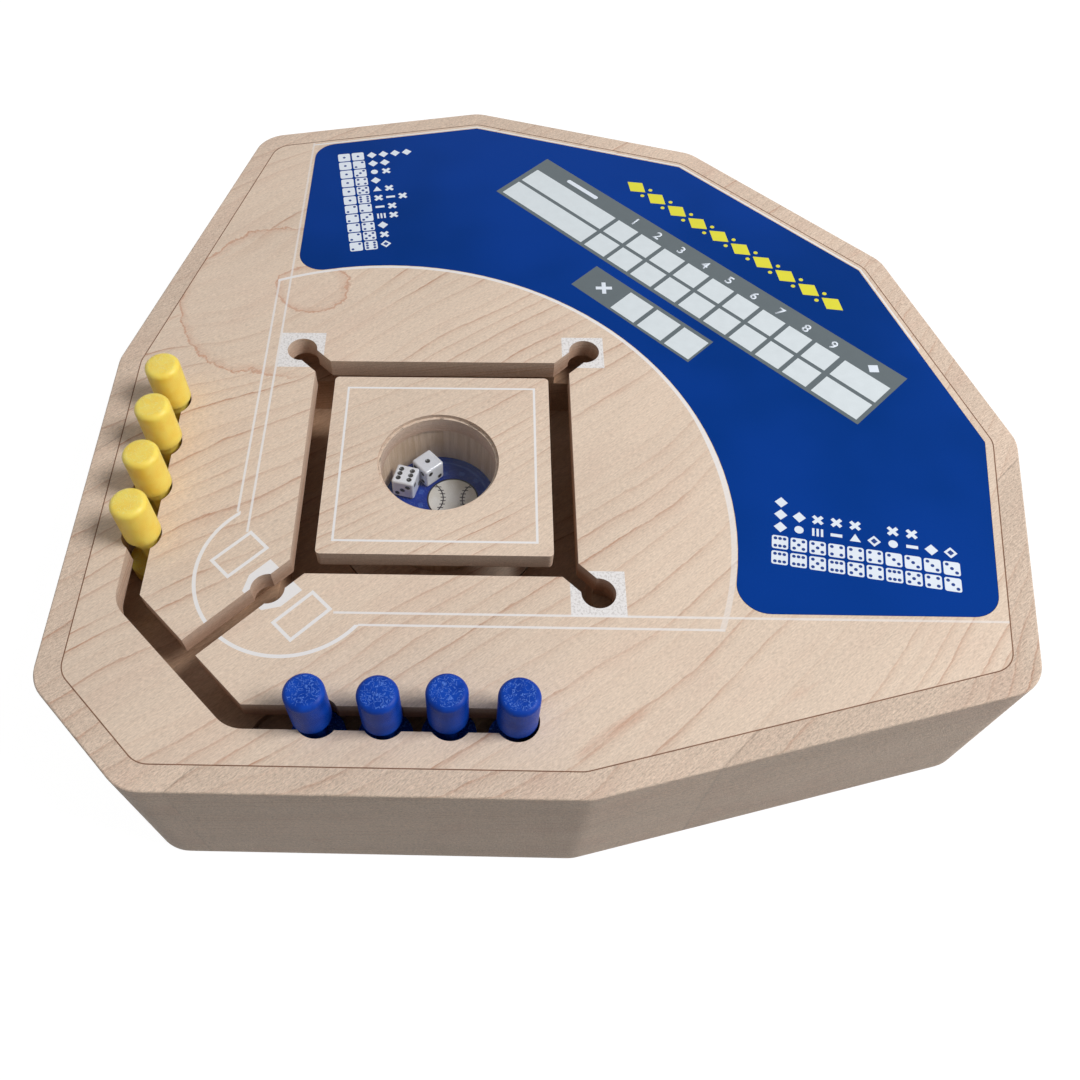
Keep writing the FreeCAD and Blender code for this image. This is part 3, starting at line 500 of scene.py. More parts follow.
def cup_material():
    """The turned cup: streaks that run up its wall."""
    paint = Paint("cup_maple", roughness=0.5)
    x, y, z = paint.layout()
    streaks = paint.noise(paint.vector(x, y, z * 0.06), 26.0, 3.0, 0.6)
    fine = paint.noise(paint.vector(x, y, z * 0.12), 120.0, 2.0)
    colour = paint.mix(streaks.ramp(0.36, 0.66), (0.520, 0.385, 0.270), (0.640, 0.505, 0.385))
    paint.set("Base Color", paint.shade(colour, (fine - 0.5) * 0.22 + 1.0))
    paint.bump(fine + streaks, 0.3, 0.0001)
    return paint.material


# ------------------------------------------------------------------------------------------ other materials


def ink_material(name, colour, roughness=0.34, vary=0.06):
    """Printed ink: a nearly even colour with a faint mottle."""
    paint = Paint(name, roughness=roughness)
    paint.set("Specular IOR Level", 0.25)
    cloud = paint.noise(paint.where, 260.0, 3.0)
    grain = paint.noise(paint.where, 2400.0, 2.0)
    value = (cloud - 0.5) * vary * 2 + (grain - 0.5) * vary + 1.0
    paint.set("Base Color", paint.shade(paint.mix(0.0, colour, colour), value))
    paint.set("Roughness", (cloud - 0.5) * 0.1 + roughness)
    paint.bump(grain, 0.08, 0.00004)
    return paint.material


def laminate_material():
    """The glossy blue score panel: a faint cloudiness and a very slightly uneven surface."""
    paint = Paint("blue_laminate", roughness=0.22)
    paint.set("Specular IOR Level", 0.02)
    cloud = paint.noise(paint.where, 11.0, 3.0, 0.55)
    skin = paint.noise(paint.where, 420.0, 3.0, 0.6)
    speck = paint.noise(paint.where, 1500.0, 2.0)
    colour = paint.mix(cloud.ramp(0.32, 0.68), (0.0010, 0.034, 0.215), (0.0030, 0.044, 0.290))
    paint.set("Base Color", paint.shade(colour, (speck - 0.5) * 0.12 + 1.0))
    paint.set("Roughness", (cloud - 0.5) * 0.08 + 0.22)
    paint.bump(skin, 0.05, 0.0002)
    return paint.material


# in millimetres
LAYER_HEIGHT = 0.16


def peg_material(name, low, high, spark, rough_top, shine, gloss, glow):
    """Printed plastic: fine layers round the side, and a rough top with lighter specks painted on it as glints.

    low and high are the ends of its colour, spark the colour of the painted glints and shine their strength,
    rough_top how much rougher the top is, gloss its specular level and glow the light it lets in.
    """
    paint = Paint(name, roughness=0.4)
    paint.set("Specular IOR Level", gloss)
    paint.set("Subsurface Weight", glow)
    paint.set("Subsurface Radius", (1.0, 0.92, 0.50))
    paint.set("Subsurface Scale", 0.005)
    _, _, z = paint.layout()
    up = paint.facing_up()
    side = up * -1.0 + 1.0
    layers = (z * MM_PER_STEP * (1 / LAYER_HEIGHT) * math.tau).calc("SINE")
    cloud = paint.noise(paint.where, 190.0, 3.0, 0.55)
    curl = abs(paint.noise(paint.where, 700.0, 1.0, 0.5, 0.9) - 0.5).ramp(0.012, 0.060, 1.0, 0.0)
    worm = curl * paint.noise(paint.where, 1500.0, 2.0, 0.6).ramp(0.36, 0.56)
    # painted glints: lighter specks on the top only, where its printed texture catches the light
    painted_glint = worm * up
    colour = paint.mix(cloud.ramp(0.3, 0.7), low, high)
    colour = paint.mix(painted_glint * shine, colour, spark)
    value = layers * side * 0.025 + (cloud - 0.5) * 0.10 + 1.0
    paint.set("Base Color", paint.shade(colour, value))
    paint.set("Roughness", painted_glint * -0.12 + up * rough_top + 0.37)
    height = layers * side * 0.10 + painted_glint * 1.5 + cloud * 0.2
    paint.bump(height, 0.45, 0.00018)
    return paint.material


PIP_BLACK = (0.012, 0.012, 0.014)
PIP_SOFT = 0.00002

# in millimetres: how far from a die's middle the balls lie that cut its pips, how far apart, and their radius
PIP_OUT = 5.34
PIP_PITCH = 2.1
PIP_REACH = 1.425

# where the pips of each number lie, and for each number the way its face looks and a direction across it
DOTS = {
    1: [(0, 0)],
    2: [(-1, 1), (1, -1)],
    3: [(-1, -1), (0, 0), (1, 1)],
    4: [(-1, -1), (-1, 1), (1, -1), (1, 1)],
    5: [(-1, -1), (-1, 1), (0, 0), (1, -1), (1, 1)],
    6: [(-1, -1), (0, -1), (1, -1), (-1, 1), (0, 1), (1, 1)],
}
SIDES = {
    1: (Vector((0, 0, 1)), Vector((1, 0, 0))),
    2: (Vector((0, -1, 0)), Vector((1, 0, 0))),
    3: (Vector((1, 0, 0)), Vector((0, 1, 0))),
    4: (Vector((-1, 0, 0)), Vector((0, 1, 0))),
    5: (Vector((0, 1, 0)), Vector((1, 0, 0))),
    6: (Vector((0, 0, -1)), Vector((1, 0, 0))),
}


def die_material(node, turn, tip):
    """White plastic with black paint in the pips, which are hollows: paint lies wherever a pip's ball has cut.

    The die is tipped and then turned, by a number of degrees, from having 1 on top and 2 in front.
    """
    low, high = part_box(node)
    middle = (low + high) / 2
    spin = Matrix.Rotation(math.radians(turn), 3, "Z") @ tip
    paint = Paint(node + "_plastic", roughness=0.16)
    paint.set("Coat Weight", 0.3)
    paint.set("Coat Roughness", 0.08)
    nearest = None
    for number, (face, across) in SIDES.items():
        up = face.cross(across)
        for a, b in DOTS[number]:
            spot = middle + spin @ (face * PIP_OUT + (across * a + up * b) * PIP_PITCH) * MM
            measure = paint.add("ShaderNodeVectorMath")
            measure.operation = "DISTANCE"
            paint.tree.links.new(paint.where, measure.inputs[0])
            measure.inputs[1].default_value = spot
            away = Value(paint.tree, measure.outputs["Value"])
            nearest = away if nearest is None else nearest.least(away)
    black = nearest.ramp(PIP_REACH * MM - PIP_SOFT, PIP_REACH * MM + PIP_SOFT, 1.0, 0.0)
    cloud = paint.noise(paint.where, 300.0, 3.0)
    white = paint.mix(cloud.ramp(0.3, 0.7), (0.670, 0.710, 0.790), (0.740, 0.775, 0.850))
    paint.set("Base Color", paint.mix(black, white, PIP_BLACK))
    paint.set("Roughness", black * 0.25 + (cloud - 0.5) * 0.06 + 0.16)
    paint.bump(cloud, 0.05, 0.0001)
    return paint.material


# the print of the floor card in millimetres, but for the middle of its ball, which is in steps
BALL_X, BALL_Y = 0.100, 0.020
BALL_EDGE = (9.1, 9.2)
RIM, HALF_RIM = 9.4, 0.35
SEAM_ASIDE, SEAM_BOW, HALF_SEAM, HALF_STITCH = 12.2, 8.6, 0.22, 0.95
RING, HALF_RING = 18.3, 0.5
BEADS, BEAD_RING, HALF_BEAD = 12, 12.4, 0.9
CARD_WHITE, CARD_CREAM = (0.66, 0.63, 0.56), (0.78, 0.77, 0.74)
CARD_BLUE, CARD_BLUE_TOO = (0.005, 0.026, 0.230), (0.009, 0.040, 0.310)
CARD_PALE_BLUE = (0.030, 0.075, 0.340)
CARD_RIM, CARD_SEAM = (0.020, 0.018, 0.030), (0.045, 0.035, 0.045)


def card_material():
    """The floor card: a plain cream ball with two seams, in a ring of beads and a ring, on blue."""
    paint = Paint("printed_card", roughness=0.45)
    paint.set("Specular IOR Level", 0.15)
    x, y, _ = paint.layout()
    u = (x - BALL_X) * MM_PER_STEP
    v = (y - BALL_Y) * MM_PER_STEP
    away = length(u, v)
    from_middle = length(x, y) * MM_PER_STEP
    ball = away.ramp(*BALL_EDGE, 1.0, 0.0)
    rim = slab_distance(away, RIM, HALF_RIM).ramp(-0.06, 0.06, 1.0, 0.0)
    seam = None
    for side in (-1, 1):
        bow = length(u - side * SEAM_ASIDE, v)
        line = slab_distance(bow, SEAM_BOW, HALF_SEAM)
        stitch = abs((v * 0.62).calc("FRACT") - 0.5).ramp(0.10, 0.16, 1.0, 0.0)
        marks = slab_distance(bow, SEAM_BOW, HALF_STITCH).most(0.0).ramp(0.0, 0.05, 1.0, 0.0) * stitch
        both = line.ramp(-0.05, 0.05, 1.0, 0.0).most(marks)
        seam = both if seam is None else seam.most(both)
    ring = slab_distance(from_middle, RING, HALF_RING).ramp(-0.06, 0.06, 1.0, 0.0)
    dots = (v.calc("ARCTAN2", u) * (BEADS / math.tau)).calc("FRACT") - 0.5
    bead = slab_distance(away, BEAD_RING, HALF_BEAD).most(abs(dots) * 5.0 - 0.85).ramp(-0.08, 0.08, 1.0, 0.0)
    cloud = paint.noise(paint.where, 120.0, 3.0)
    speck = paint.noise(paint.where, 2600.0, 2.0)
    blue = paint.mix(cloud.ramp(0.3, 0.7), CARD_BLUE, CARD_BLUE_TOO)
    cream = paint.mix(cloud.ramp(0.35, 0.65), CARD_WHITE, CARD_CREAM)
    colour = paint.mix(ring, blue, CARD_PALE_BLUE)
    colour = paint.mix(bead, colour, CARD_PALE_BLUE)
    colour = paint.mix(rim, colour, CARD_RIM)
    colour = paint.mix(ball, colour, cream)
    colour = paint.mix(seam * ball, colour, CARD_SEAM)
    paint.set("Base Color", paint.shade(colour, (speck - 0.5) * 0.16 + 1.0))
    paint.bump(cloud, 0.1, 0.0001)
    return paint.material


def window_material():
    """Clear acrylic, thin enough to see straight through: a faint haze and the gloss of its surface."""
    paint = Paint("clear_acrylic", (0.30, 0.31, 0.32), 0.05)
    haze = paint.noise(paint.where, 160.0, 3.0)
    paint.set("Roughness", (haze - 0.5) * 0.04 + 0.05)
    paint.set("Alpha", haze.ramp(0.3, 0.7, 0.022, 0.040))
    return paint.material


def metal_material(name, colour, roughness, stretch):
    """Metal with fine scratches, which run up and down if stretch is below 1."""
    paint = Paint(name, roughness=roughness, Metallic=1.0)
    x, y, z = paint.layout()
    scratch = paint.noise(paint.vector(x, y, z * stretch), 90.0, 4.0, 0.6)
    cloud = paint.noise(paint.where, 500.0, 3.0)
    dark = tuple(c * 0.75 for c in colour)
    paint.set("Base Color", paint.mix(cloud.ramp(0.3, 0.7), dark, colour))
    paint.set("Roughness", (scratch - 0.5) * 0.3 + roughness)
    paint.bump(scratch, 0.1, 0.0001)
    return paint.material


def moulded_material(name, dark, light, roughness, scale=900.0, strength=0.25):
    """Rubber or nylon with a fine moulded texture."""
    paint = Paint(name, roughness=roughness)
    cloud = paint.noise(paint.where, 160.0, 3.0)
    skin = paint.noise(paint.where, scale, 3.0, 0.6)
    paint.set("Base Color", paint.mix(cloud.ramp(0.3, 0.7), dark, light))
    paint.set("Roughness", (skin - 0.5) * 0.2 + roughness)
    paint.bump(skin, strength, 0.0001)
    return paint.material


def wear(node, material):
    """Gives a CAD node its material."""
    thing = NODES[node]
    thing.data.materials.clear()
    thing.data.materials.append(material)


# darker maple for the inner boards, which show only deep in the slots and channels: painted shade
SHADED_INNER_WOOD = {"pale": (0.50, 0.325, 0.215), "tan": (0.41, 0.250, 0.160), "line": (0.28, 0.145, 0.085)}
CASE_WOOD = plain_maple("case_maple", 7, pitch=9.0, seams=(-2.62, 1.0, 4.18), mottle=0.60, fibre=1.5,
                        pale=(0.740, 0.590, 0.475), relief=0.00050)
wear("case_frame", CASE_WOOD)
wear("top_board", top_board_material())
wear("press_block", press_block_material())
wear("track_board", plain_maple("track_maple", 17, rough=0.6, **SHADED_INNER_WOOD))
wear("bearing_board", plain_maple("bearing_maple", 23, rough=0.6, **SHADED_INNER_WOOD))
wear("press_disc", plain_maple("disc_maple", 29, pitch=5.0, rough=0.55))
wear("base_panel", plain_maple("base_ply", 31, pitch=14.0, rough=0.55, lines=0.8))
wear("cup_plug", plain_maple("plug_maple", 37, rough=0.55))
wear("dice_cup", cup_material())
wear("score_panel", laminate_material())
wear("window_disc", window_material())
wear("floor_card", card_material())
SIX_UP = Matrix.Rotation(math.radians(-90), 3, "Z") @ Matrix.Rotation(math.pi, 3, "X")
wear("die_six", die_material("die_six", -15, SIX_UP))
wear("die_one", die_material("die_one", 42, Matrix.Identity(3)))
wear("base_screws", metal_material("screw_steel", (0.62, 0.61, 0.58), 0.34, 0.3))
wear("guide_pins", metal_material("pin_steel", (0.58, 0.58, 0.58), 0.22, 0.1))
wear("guide_bushings", moulded_material("bushing_plastic", (0.66, 0.65, 0.61), (0.76, 0.75, 0.71), 0.42))
FOOT_RUBBER = moulded_material("foot_rubber", (0.018, 0.018, 0.018), (0.035, 0.035, 0.035), 0.78,
                               scale=1400.0, strength=0.5)
wear("rubber_feet", FOOT_RUBBER)
BLUE = peg_material("blue_plastic", low=(0.0015, 0.040, 0.335), high=(0.0045, 0.060, 0.440),
                    spark=(0.095, 0.220, 0.720), rough_top=0.10, shine=0.85, gloss=0.13, glow=0.0)
YELLOW = peg_material("yellow_plastic", low=(0.99, 0.690, 0.100), high=(0.99, 0.750, 0.145),
                      spark=(0.98, 0.870, 0.360), rough_top=0.20, shine=0.45, gloss=0.45, glow=0.60)
for number in range(1, 5):
    wear(f"blue_peg_{number}", BLUE)
    wear(f"yellow_peg_{number}", YELLOW)

# ------------------------------------------------------------------------------------------ printed charts

GREY_INK = ink_material("grey_ink", (0.118, 0.146, 0.162))
PALE_INK = ink_material("pale_ink", (0.690, 0.755, 0.800))
WHITE_INK = ink_material("white_ink", (0.760, 0.830, 0.930))
BLUE_INK = ink_material("blue_ink", (0.010, 0.045, 0.240))
YELLOW_INK = ink_material("yellow_ink", (0.760, 0.720, 0.045))

# heights above the playing surface of the underside of the ink, of a first layer and of one that lies over it
BURIED = -0.00002
FIRST = 0.00003
SECOND = 0.00005


def layer(name, outlines, material, top):
    """A thin layer of ink on the score panel. Each outline is a list of layout points, anticlockwise."""
    mesh = bmesh.new()
    for outline in outlines:
        rings = [[mesh.verts.new(place(x, y, rise)) for x, y in outline] for rise in (BURIED, top)]
        mesh.faces.new(rings[1])
        mesh.faces.new(rings[0][::-1])
        count = len(outline)
        for i in range(count):
            j = (i + 1) % count
            mesh.faces.new((rings[0][i], rings[0][j], rings[1][j], rings[1][i]))
    return finished(name, mesh, material)


def finished(name, mesh, material):
    """A piece of the board made from a mesh, in a material slot of its own."""
    bmesh.ops.recalc_face_normals(mesh, faces=mesh.faces)
    data = bpy.data.meshes.new(name)
    mesh.to_mesh(data)
    mesh.free()
    data.materials.append(material)
    thing = bpy.data.objects.new(name, data)
    bpy.context.scene.collection.objects.link(thing)
    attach(thing, "board")
    return thing


def corners(width, height, radius=0.0, steps=5):
    """A rectangle round 0, 0 with its corners rounded."""
    a, b = width / 2, height / 2
    if not radius:
        return [(-a, -b), (a, -b), (a, b), (-a, b)]
    points = []
    for k, (right, up) in enumerate(((1, 1), (-1, 1), (-1, -1), (1, -1))):
        for i in range(steps + 1):
            angle = math.radians(90 * k + 90 * i / steps)
            x = right * (a - radius) + radius * math.cos(angle)
            points.append((x, up * (b - radius) + radius * math.sin(angle)))
    return points


def circle(radius, steps):
    """A circle round 0, 0."""
    angles = [math.tau * i / steps for i in range(steps)]
    return [(radius * math.cos(angle), radius * math.sin(angle)) for angle in angles]


def moved(outline, x, y, angle=0.0):
    """An outline turned by an angle and then moved by x, y."""
    c, s = math.cos(angle), math.sin(angle)
    return [(x + c * u - s * v, y + s * u + c * v) for u, v in outline]


TABLE_TURN = math.radians(-45)


def on_table(outline, s, t):
    """An outline whose u runs along the table and v towards the outfield, put at s, t."""
    x, y = turned(s, t)
    return moved(outline, x, y, TABLE_TURN)


def lozenge(width, height):
    """A square on its corner, or a longer or taller one."""
    return [(width / 2, 0), (0, height / 2), (-width / 2, 0), (0, -height / 2)]


def cross(size, width):
    """An x made of one outline."""
    a, b = size / 2, width / 2
    plus = [(b, b), (b, a), (-b, a), (-b, b), (-a, b), (-a, -b)]
    plus += [(-b, -b), (-b, -a), (b, -a), (b, -b), (a, -b), (a, b)]
    return moved(plus, 0, 0, math.radians(45))


# the score table: a header over two rows of boxes, and three boxes below. HEADER, ROWS and BELOW are their s,
# and TEAM, COLUMN and TOTAL the t of a wide box, of the first of the columns and of a last box
HEADER, ROWS, BELOW = 3.078, (2.890, 2.645), 2.247
TEAM, COLUMN, TOTAL = 1.383, 0.754, -1.708
COLUMNS, COLUMN_PITCH = 9, 0.2616
BOX_HEIGHT = 0.210
TABLE = [on_table(corners(3.86, 0.668), 2.841, -0.02), on_table(corners(1.254, 0.317), 2.2535, -0.023)]
layer("score_table", TABLE, GREY_INK, FIRST)
boxes = []
for s in ROWS:
    boxes.append(on_table(corners(0.955, BOX_HEIGHT), s, TEAM))
    boxes.append(on_table(corners(0.415, BOX_HEIGHT), s, TOTAL))
    for k in range(COLUMNS):
        boxes.append(on_table(corners(0.224, BOX_HEIGHT), s, COLUMN - k * COLUMN_PITCH))
for k in range(3):
    boxes.append(on_table(corners(0.248, 0.256), BELOW, 0.064 - k * 0.286))
layer("score_boxes", boxes, PALE_INK, SECOND)


def numeral(text, s, t, height):
    """A numeral of the header, as a layer of ink that reads along the table."""
    curve = bpy.data.curves.new("numeral_" + text, "FONT")
    curve.body = text
    curve.align_x = "CENTER"
    curve.offset = 0.020
    curve.resolution_u = 4
    source = bpy.data.objects.new("numeral_source", curve)
    bpy.context.scene.collection.objects.link(source)
    bpy.context.view_layer.update()
    flat = bpy.data.meshes.new_from_object(source.evaluated_get(bpy.context.evaluated_depsgraph_get()))
    bpy.data.objects.remove(source)
    mesh = bmesh.new()
    mesh.from_mesh(flat)
    bmesh.ops.remove_doubles(mesh, verts=mesh.verts, dist=1e-5)
    low = min(v.co.y for v in mesh.verts)
    high = max(v.co.y for v in mesh.verts)
    middle = (min(v.co.x for v in mesh.verts) + max(v.co.x for v in mesh.verts)) / 2
    scale = height / (high - low)
    for v in mesh.verts:
        spot = ((v.co.x - middle) * scale, (v.co.y - (low + high) / 2) * scale)
        v.co = place(*on_table([spot], s, t)[0], SECOND)
    made = bmesh.ops.extrude_face_region(mesh, geom=list(mesh.faces))
    for v in made["geom"]:
        if isinstance(v, bmesh.types.BMVert):
            v.co.z = SURFACE + BURIED
    return finished("numeral_" + text, mesh, WHITE_INK)


for k in range(COLUMNS):
    numeral(str(k + 1), 3.083 - 0.0018 * k, COLUMN - k * COLUMN_PITCH, height=0.092)
header = [
    on_table(lozenge(0.105, 0.105), HEADER, TOTAL),
    on_table(corners(0.36, 0.042, 0.018), HEADER, 1.38),
    on_table(cross(0.135, 0.034), 2.2535, 0.38),
]
layer("header_marks", header, WHITE_INK, SECOND)

# a plain row of lozenges with pairs of dots between them, where the board carries lettering
LOZENGES, LOZENGE_PITCH = 10, 0.2355
bunting = []
for k in range(LOZENGES):
    t = 1.06 - k * LOZENGE_PITCH
    bunting.append(on_table(lozenge(0.210, 0.160), 3.452, t))
    if k < LOZENGES - 1:
        for s in (3.397, 3.507):
            bunting.append(on_table(circle(0.018, 14), s, t - 0.1178))
layer("yellow_bunting", bunting, YELLOW_INK, FIRST)

# the dice charts: a pair of dice for each throw, and marks for what it brings
BASE, OUT, WALK, HIGH, POP, ROLL, MISS = "base", "out", "walk", "high", "pop", "roll", "miss"
LEFT_CHART = [
    ((1, 1), [BASE] * 4), ((1, 2), [BASE] * 2), ((1, 3), [HIGH, OUT]), ((1, 4), [BASE]),
    ((1, 5), [POP, OUT]), ((1, 6), [OUT, ROLL, OUT]), ((2, 2), [ROLL, OUT]), ((2, 3), [MISS, OUT]),
    ((2, 4), [BASE]), ((2, 5), [OUT]), ((2, 6), [WALK]),
]
RIGHT_CHART = [
    ((6, 6), [BASE] * 3), ((6, 5), [HIGH, BASE]), ((5, 5), [MISS, OUT]), ((6, 4), [ROLL, OUT]),
    ((5, 4), [POP, OUT]), ((4, 4), [WALK]), ((6, 3), [HIGH, OUT]), ((5, 3), [ROLL, OUT]),
    ((4, 3), [BASE]), ((3, 3), [WALK]),
]
ICON = 0.112
ICON_PIP = 0.0130
ICON_PITCH = 0.0315
ICON_DOTS = dict(DOTS)
ICON_DOTS[2] = [(-1, -1), (1, 1)]
ICON_DOTS[6] = [(-1, -1), (-1, 0), (-1, 1), (1, -1), (1, 0), (1, 1)]

faces, pips, marks, holes = [], [], [], []


def icon(value, x, y, angle, quarter):
    """The face of a die, with its pips a quarter turn round if quarter is set."""
    faces.append(moved(corners(ICON, ICON, 0.016, 4), x, y, angle))
    for a, b in ICON_DOTS[value]:
        if quarter:
            a, b = b, -a
        spot = moved([(a * ICON_PITCH, b * ICON_PITCH)], x, y, angle)[0]
        pips.append(moved(circle(ICON_PIP, 12), *spot))


def mark(kind, x, y, angle):
    """A lozenge for a base, an open one for a walk, a cross for an out; a disc, a wedge, a bar or three strokes
    say how the ball goes."""
    shapes = {
        BASE: [lozenge(0.092, 0.092)],
        WALK: [lozenge(0.092, 0.092)],
        OUT: [cross(0.088, 0.026)],
        HIGH: [circle(0.032, 18)],
        POP: [[(-0.038, -0.028), (0.038, -0.028), (0, 0.038)]],
        ROLL: [corners(0.080, 0.026)],
        MISS: [moved(corners(0.016, 0.066), step, 0) for step in (-0.030, 0, 0.030)],
    }
    for shape in shapes[kind]:
        marks.append(moved(shape, x, y, angle))
    if kind == WALK:
        holes.append(moved(lozenge(0.048, 0.048), x, y, angle))


def chart(throws, start, pitch, second, first_mark, mark_pitch, angle, quarter=False):
    """The two dice of each throw, and after them its marks.

    start is the first die of the first throw, pitch the way from one throw to the next, and second and
    first_mark the ways from a first die to the second and to the first mark.
    """
    for n, (values, results) in enumerate(throws):
        x, y = start[0] + pitch[0] * n, start[1] + pitch[1] * n
        near, far = reversed(values) if quarter else values
        icon(near, x, y, angle, quarter)
        icon(far, x + second[0], y + second[1], angle, quarter)
        for k, kind in enumerate(results):
            mark(kind, x + first_mark[0] + mark_pitch[0] * k, y + first_mark[1] + mark_pitch[1] * k, angle)


LEFT_TILT = math.radians(9)
RIGHT_TILT = LEFT_TILT - math.radians(18)
chart(LEFT_CHART, start=(-1.000, 3.600), pitch=(0.0210, -0.1240), second=(0.127, 0.020),
      first_mark=(0.255, 0.041), mark_pitch=(0.108, 0.017), angle=LEFT_TILT)
chart(RIGHT_CHART, start=(2.410, -0.690), pitch=(0.1265, -0.0223), second=(-0.022, -0.130),
      first_mark=(0.022, 0.130), mark_pitch=(0.019, 0.108), angle=RIGHT_TILT, quarter=True)
layer("chart_dice", faces, WHITE_INK, FIRST)
layer("chart_pips", pips, BLUE_INK, SECOND)
layer("chart_marks", marks, WHITE_INK, FIRST)
layer("chart_openings", holes, BLUE_INK, SECOND)

# ------------------------------------------------------------------------------------------ joint line

# the least z of a level face's normal, how near the surface the face lies, and half the width of the line
LEVEL = 0.99
SAME_HEIGHT = 2e-5
HALF_JOINT = 0.00019


def edge_loops(thing):
    """The closed loops of points round the level faces at the top of a thing."""
    mesh = bmesh.new()
    mesh.from_mesh(thing.data)
    mesh.transform(thing.matrix_world)
    bmesh.ops.remove_doubles(mesh, verts=mesh.verts, dist=1e-6)
    level = [face for face in mesh.faces if face.normal.z > LEVEL]
    top = [face for face in level if abs(face.calc_center_median().z - SURFACE) < SAME_HEIGHT]
    known = set(top)
    after = {}
    for face in top:
        for loop in face.loops:
            if not any(other in known for other in loop.edge.link_faces if other is not face):
                after[loop.vert.co.to_2d().freeze()] = loop.link_loop_next.vert.co.to_2d().freeze()
    mesh.free()
    loops = []
    while after:
        start = next(iter(after))
        loop = [start]
        point = after.pop(start)
        while point != start and point in after:
            loop.append(point)
            point = after.pop(point)
        loops.append(loop)
    return loops


def joint_line(name, loop, half, material):
    """A hairline along a closed loop of points, as a ribbon just above the surface."""
    mesh = bmesh.new()
    count = len(loop)
    rows = []
    for i, point in enumerate(loop):
        back, ahead = point - loop[i - 1], loop[(i + 1) % count] - point
        sides = [Vector((way.y, -way.x)).normalized() for way in (back, ahead)]
        normal = (sides[0] + sides[1]).normalized()
        row = []
        for side, rise in ((-1, BURIED), (-1, FIRST), (1, FIRST), (1, BURIED)):
            spot = point + normal * half * side
            row.append(mesh.verts.new((spot.x, spot.y, SURFACE + rise)))
        rows.append(row)
    for i in range(count):
        here, there = rows[i], rows[(i + 1) % count]
        for k in range(4):
            m = (k + 1) % 4
            mesh.faces.new((here[k], here[m], there[m], there[k]))
    return finished(name, mesh, material)


# the shade in the gap between board and case, painted as a dark ribbon along it
SEAM_DARK = ink_material("joint_shade", (0.230, 0.125, 0.080), 0.9, 0.5)
LOOPS = edge_loops(NODES["top_board"])
OUTLINE = max(LOOPS, key=lambda loop: max(v.x for v in loop) - min(v.x for v in loop))
joint_line("board_joint", OUTLINE, HALF_JOINT, SEAM_DARK)

# ------------------------------------------------------------------------------------------ return spring

# the wire's thickness, the number of turns, and how finely they are drawn
WIRE = 0.0016
TURNS = 4
RINGS_PER_TURN = 40
WIRE_SIDES = 12
PRESS_TRAVEL = next(joint["range_m"][1] for joint in frame["joints"] if joint["name"] == "press_slide")


def coil_spring(name, node, material):
    """The coil of round wire that stands for a node."""
    low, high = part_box(node)
    middle = (low + high) / 2
    radius = (high.x - low.x - WIRE) / 2
    rise = high.z - low.z - WIRE
    count = TURNS * RINGS_PER_TURN
    mesh = bmesh.new()
    rings = []
    for i in range(count + 1):
        angle = math.tau * i / RINGS_PER_TURN
        out = Vector((math.cos(angle), math.sin(angle), 0.0))
        heart = Vector((middle.x, middle.y, low.z + WIRE / 2 + rise * i / count)) + out * radius
        ring = []
        for k in range(WIRE_SIDES):
            turn = math.tau * k / WIRE_SIDES
            aside = out * math.cos(turn) + Vector((0.0, 0.0, math.sin(turn)))
            ring.append(mesh.verts.new(heart + aside * (WIRE / 2)))
        rings.append(ring)
    for here, there in zip(rings, rings[1:]):
        for k in range(WIRE_SIDES):
            m = (k + 1) % WIRE_SIDES
            mesh.faces.new((here[k], here[m], there[m], there[k]))
    mesh.faces.new(rings[0][::-1])
    mesh.faces.new(rings[-1])
    coil = finished(name, mesh, material)
    for polygon in coil.data.polygons:
        polygon.use_smooth = True
    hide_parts(node)
    height = high.z - low.z
    1 - PRESS_TRAVEL / height
    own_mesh(coil)


SPRING_STEEL = metal_material("spring_steel", (0.55, 0.55, 0.56), 0.25, 3.0)
coil_spring("spring_coil", "return_spring", SPRING_STEEL)

# ------------------------------------------------------------------------------------------ surroundings


WHITE = (1.0, 1.0, 1.0, 1.0)
FLOOR_GREY = (0.12, 0.12, 0.12)
FLOOR_GLOW = 0.97
FLOOR_SIZE = 6.0
FLOOR_GAP = 0.0001
AMBIENT = 0.28


def looked_at(tree):
    """1 for rays of the camera, of reflections and of clear pieces, 0 for bounced light."""
    rays = tree.nodes.new("ShaderNodeLightPath").outputs
    kinds = [Value(tree, rays[f"Is {kind} Ray"]) for kind in ("Camera", "Glossy", "Transmission")]
    return kinds[0].most(*kinds[1:])


def floor_material():
    """Plain white with soft shadows to the eye and in reflections, and a quiet grey to bounced light."""
    paint = Paint("floor", FLOOR_GREY, 0.9)
    paint.set("Specular IOR Level", 0.0)
    glow = paint.add("ShaderNodeEmission")
    glow.inputs["Strength"].default_value = FLOOR_GLOW
    glow.inputs["Color"].default_value = WHITE
    seen = paint.add("ShaderNodeAddShader")
    mixer = paint.add("ShaderNodeMixShader")
    paint.tree.links.new(paint.shader.outputs[0], seen.inputs[0])
    paint.tree.links.new(glow.outputs[0], seen.inputs[1])
    feed(paint.tree, mixer.inputs[0], looked_at(paint.tree))
    paint.tree.links.new(paint.shader.outputs[0], mixer.inputs[1])
    paint.tree.links.new(seen.outputs[0], mixer.inputs[2])
    paint.tree.links.new(mixer.outputs[0], paint.output.inputs["Surface"])
    return paint.material


floor_mesh = bmesh.new()
bmesh.ops.create_grid(floor_mesh, x_segments=1, y_segments=1, size=FLOOR_SIZE)
floor_data = bpy.data.meshes.new("floor")
floor_mesh.to_mesh(floor_data)
floor_mesh.free()
floor_data.materials.append(floor_material())
floor = bpy.data.objects.new("floor", floor_data)
floor.location.z = CAD_BOX[0].z - FLOOR_GAP
bpy.context.scene.collection.objects.link(floor)

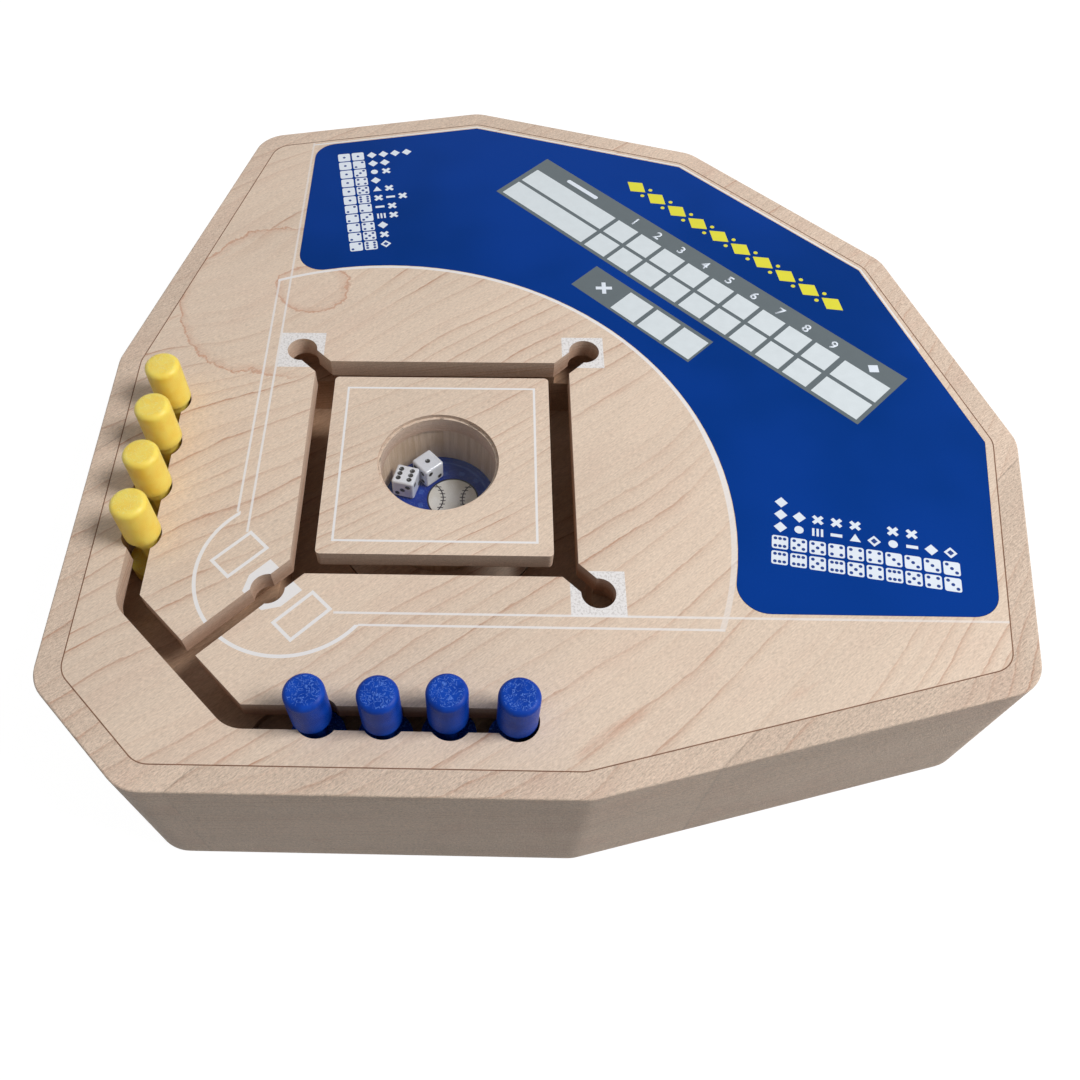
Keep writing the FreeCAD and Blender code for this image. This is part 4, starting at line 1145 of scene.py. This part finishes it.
world = bpy.data.worlds.new("studio")
bpy.context.scene.world = world
world.use_nodes = True
tree = world.node_tree
tree.nodes.clear()
sky = tree.nodes.new("ShaderNodeBackground")
sky.inputs["Color"].default_value = WHITE
feed(tree, sky.inputs["Strength"], looked_at(tree) * (1.0 - AMBIENT) + AMBIENT)
out = tree.nodes.new("ShaderNodeOutputWorld")
tree.links.new(sky.outputs[0], out.inputs["Surface"])


def lamp(name, azimuth, elevation, distance, size, level):
    """A square soft lamp aimed at the playing surface, at angles in degrees. level is how brightly it lights a
    white surface that faces it."""
    data = bpy.data.lights.new(name, "AREA")
    data.shape = "SQUARE"
    data.size = size
    data.energy = level * math.pi ** 2 * distance ** 2
    data.color = (1.0, 0.985, 0.965)
    thing = bpy.data.objects.new(name, data)
    a, e = math.radians(azimuth), math.radians(elevation)
    aim = Vector((math.cos(e) * math.cos(a), math.cos(e) * math.sin(a), math.sin(e)))
    thing.location = Vector((0.0, 0.0, SURFACE)) + aim * distance
    thing.rotation_euler = aim.to_track_quat("Z", "Y").to_euler()
    bpy.context.scene.collection.objects.link(thing)


lamp("key", azimuth=-12, elevation=50, distance=1.5, size=0.55, level=0.88)

# the camera of the photograph: where it is, in steps of the layout, and its axes
CAMERA_X, CAMERA_Y, CAMERA_HEIGHT = 0.31299, -4.44749, 5.44133
RIGHT = Vector((0.99968, 0.02295, -0.01088))
DOWN = Vector((0.01438, -0.86441, -0.50258))
AHEAD = Vector((-0.02094, 0.50226, -0.86446))
camera_data = bpy.data.cameras.new("camera")
camera_data.sensor_width = 36.0
camera_data.lens = 31.29
camera_data.shift_x = 0.0754
camera_data.shift_y = 0.0662
camera_data.clip_start = 0.01
camera = bpy.data.objects.new("camera", camera_data)
camera_axes = Matrix((RIGHT, -DOWN, -AHEAD)).transposed().to_4x4()
camera.matrix_world = Matrix.Translation(place(CAMERA_X, CAMERA_Y, CAMERA_HEIGHT * STEP)) @ camera_axes
bpy.context.scene.collection.objects.link(camera)
bpy.context.scene.camera = camera
bpy.context.scene.view_settings.view_transform = "Standard"
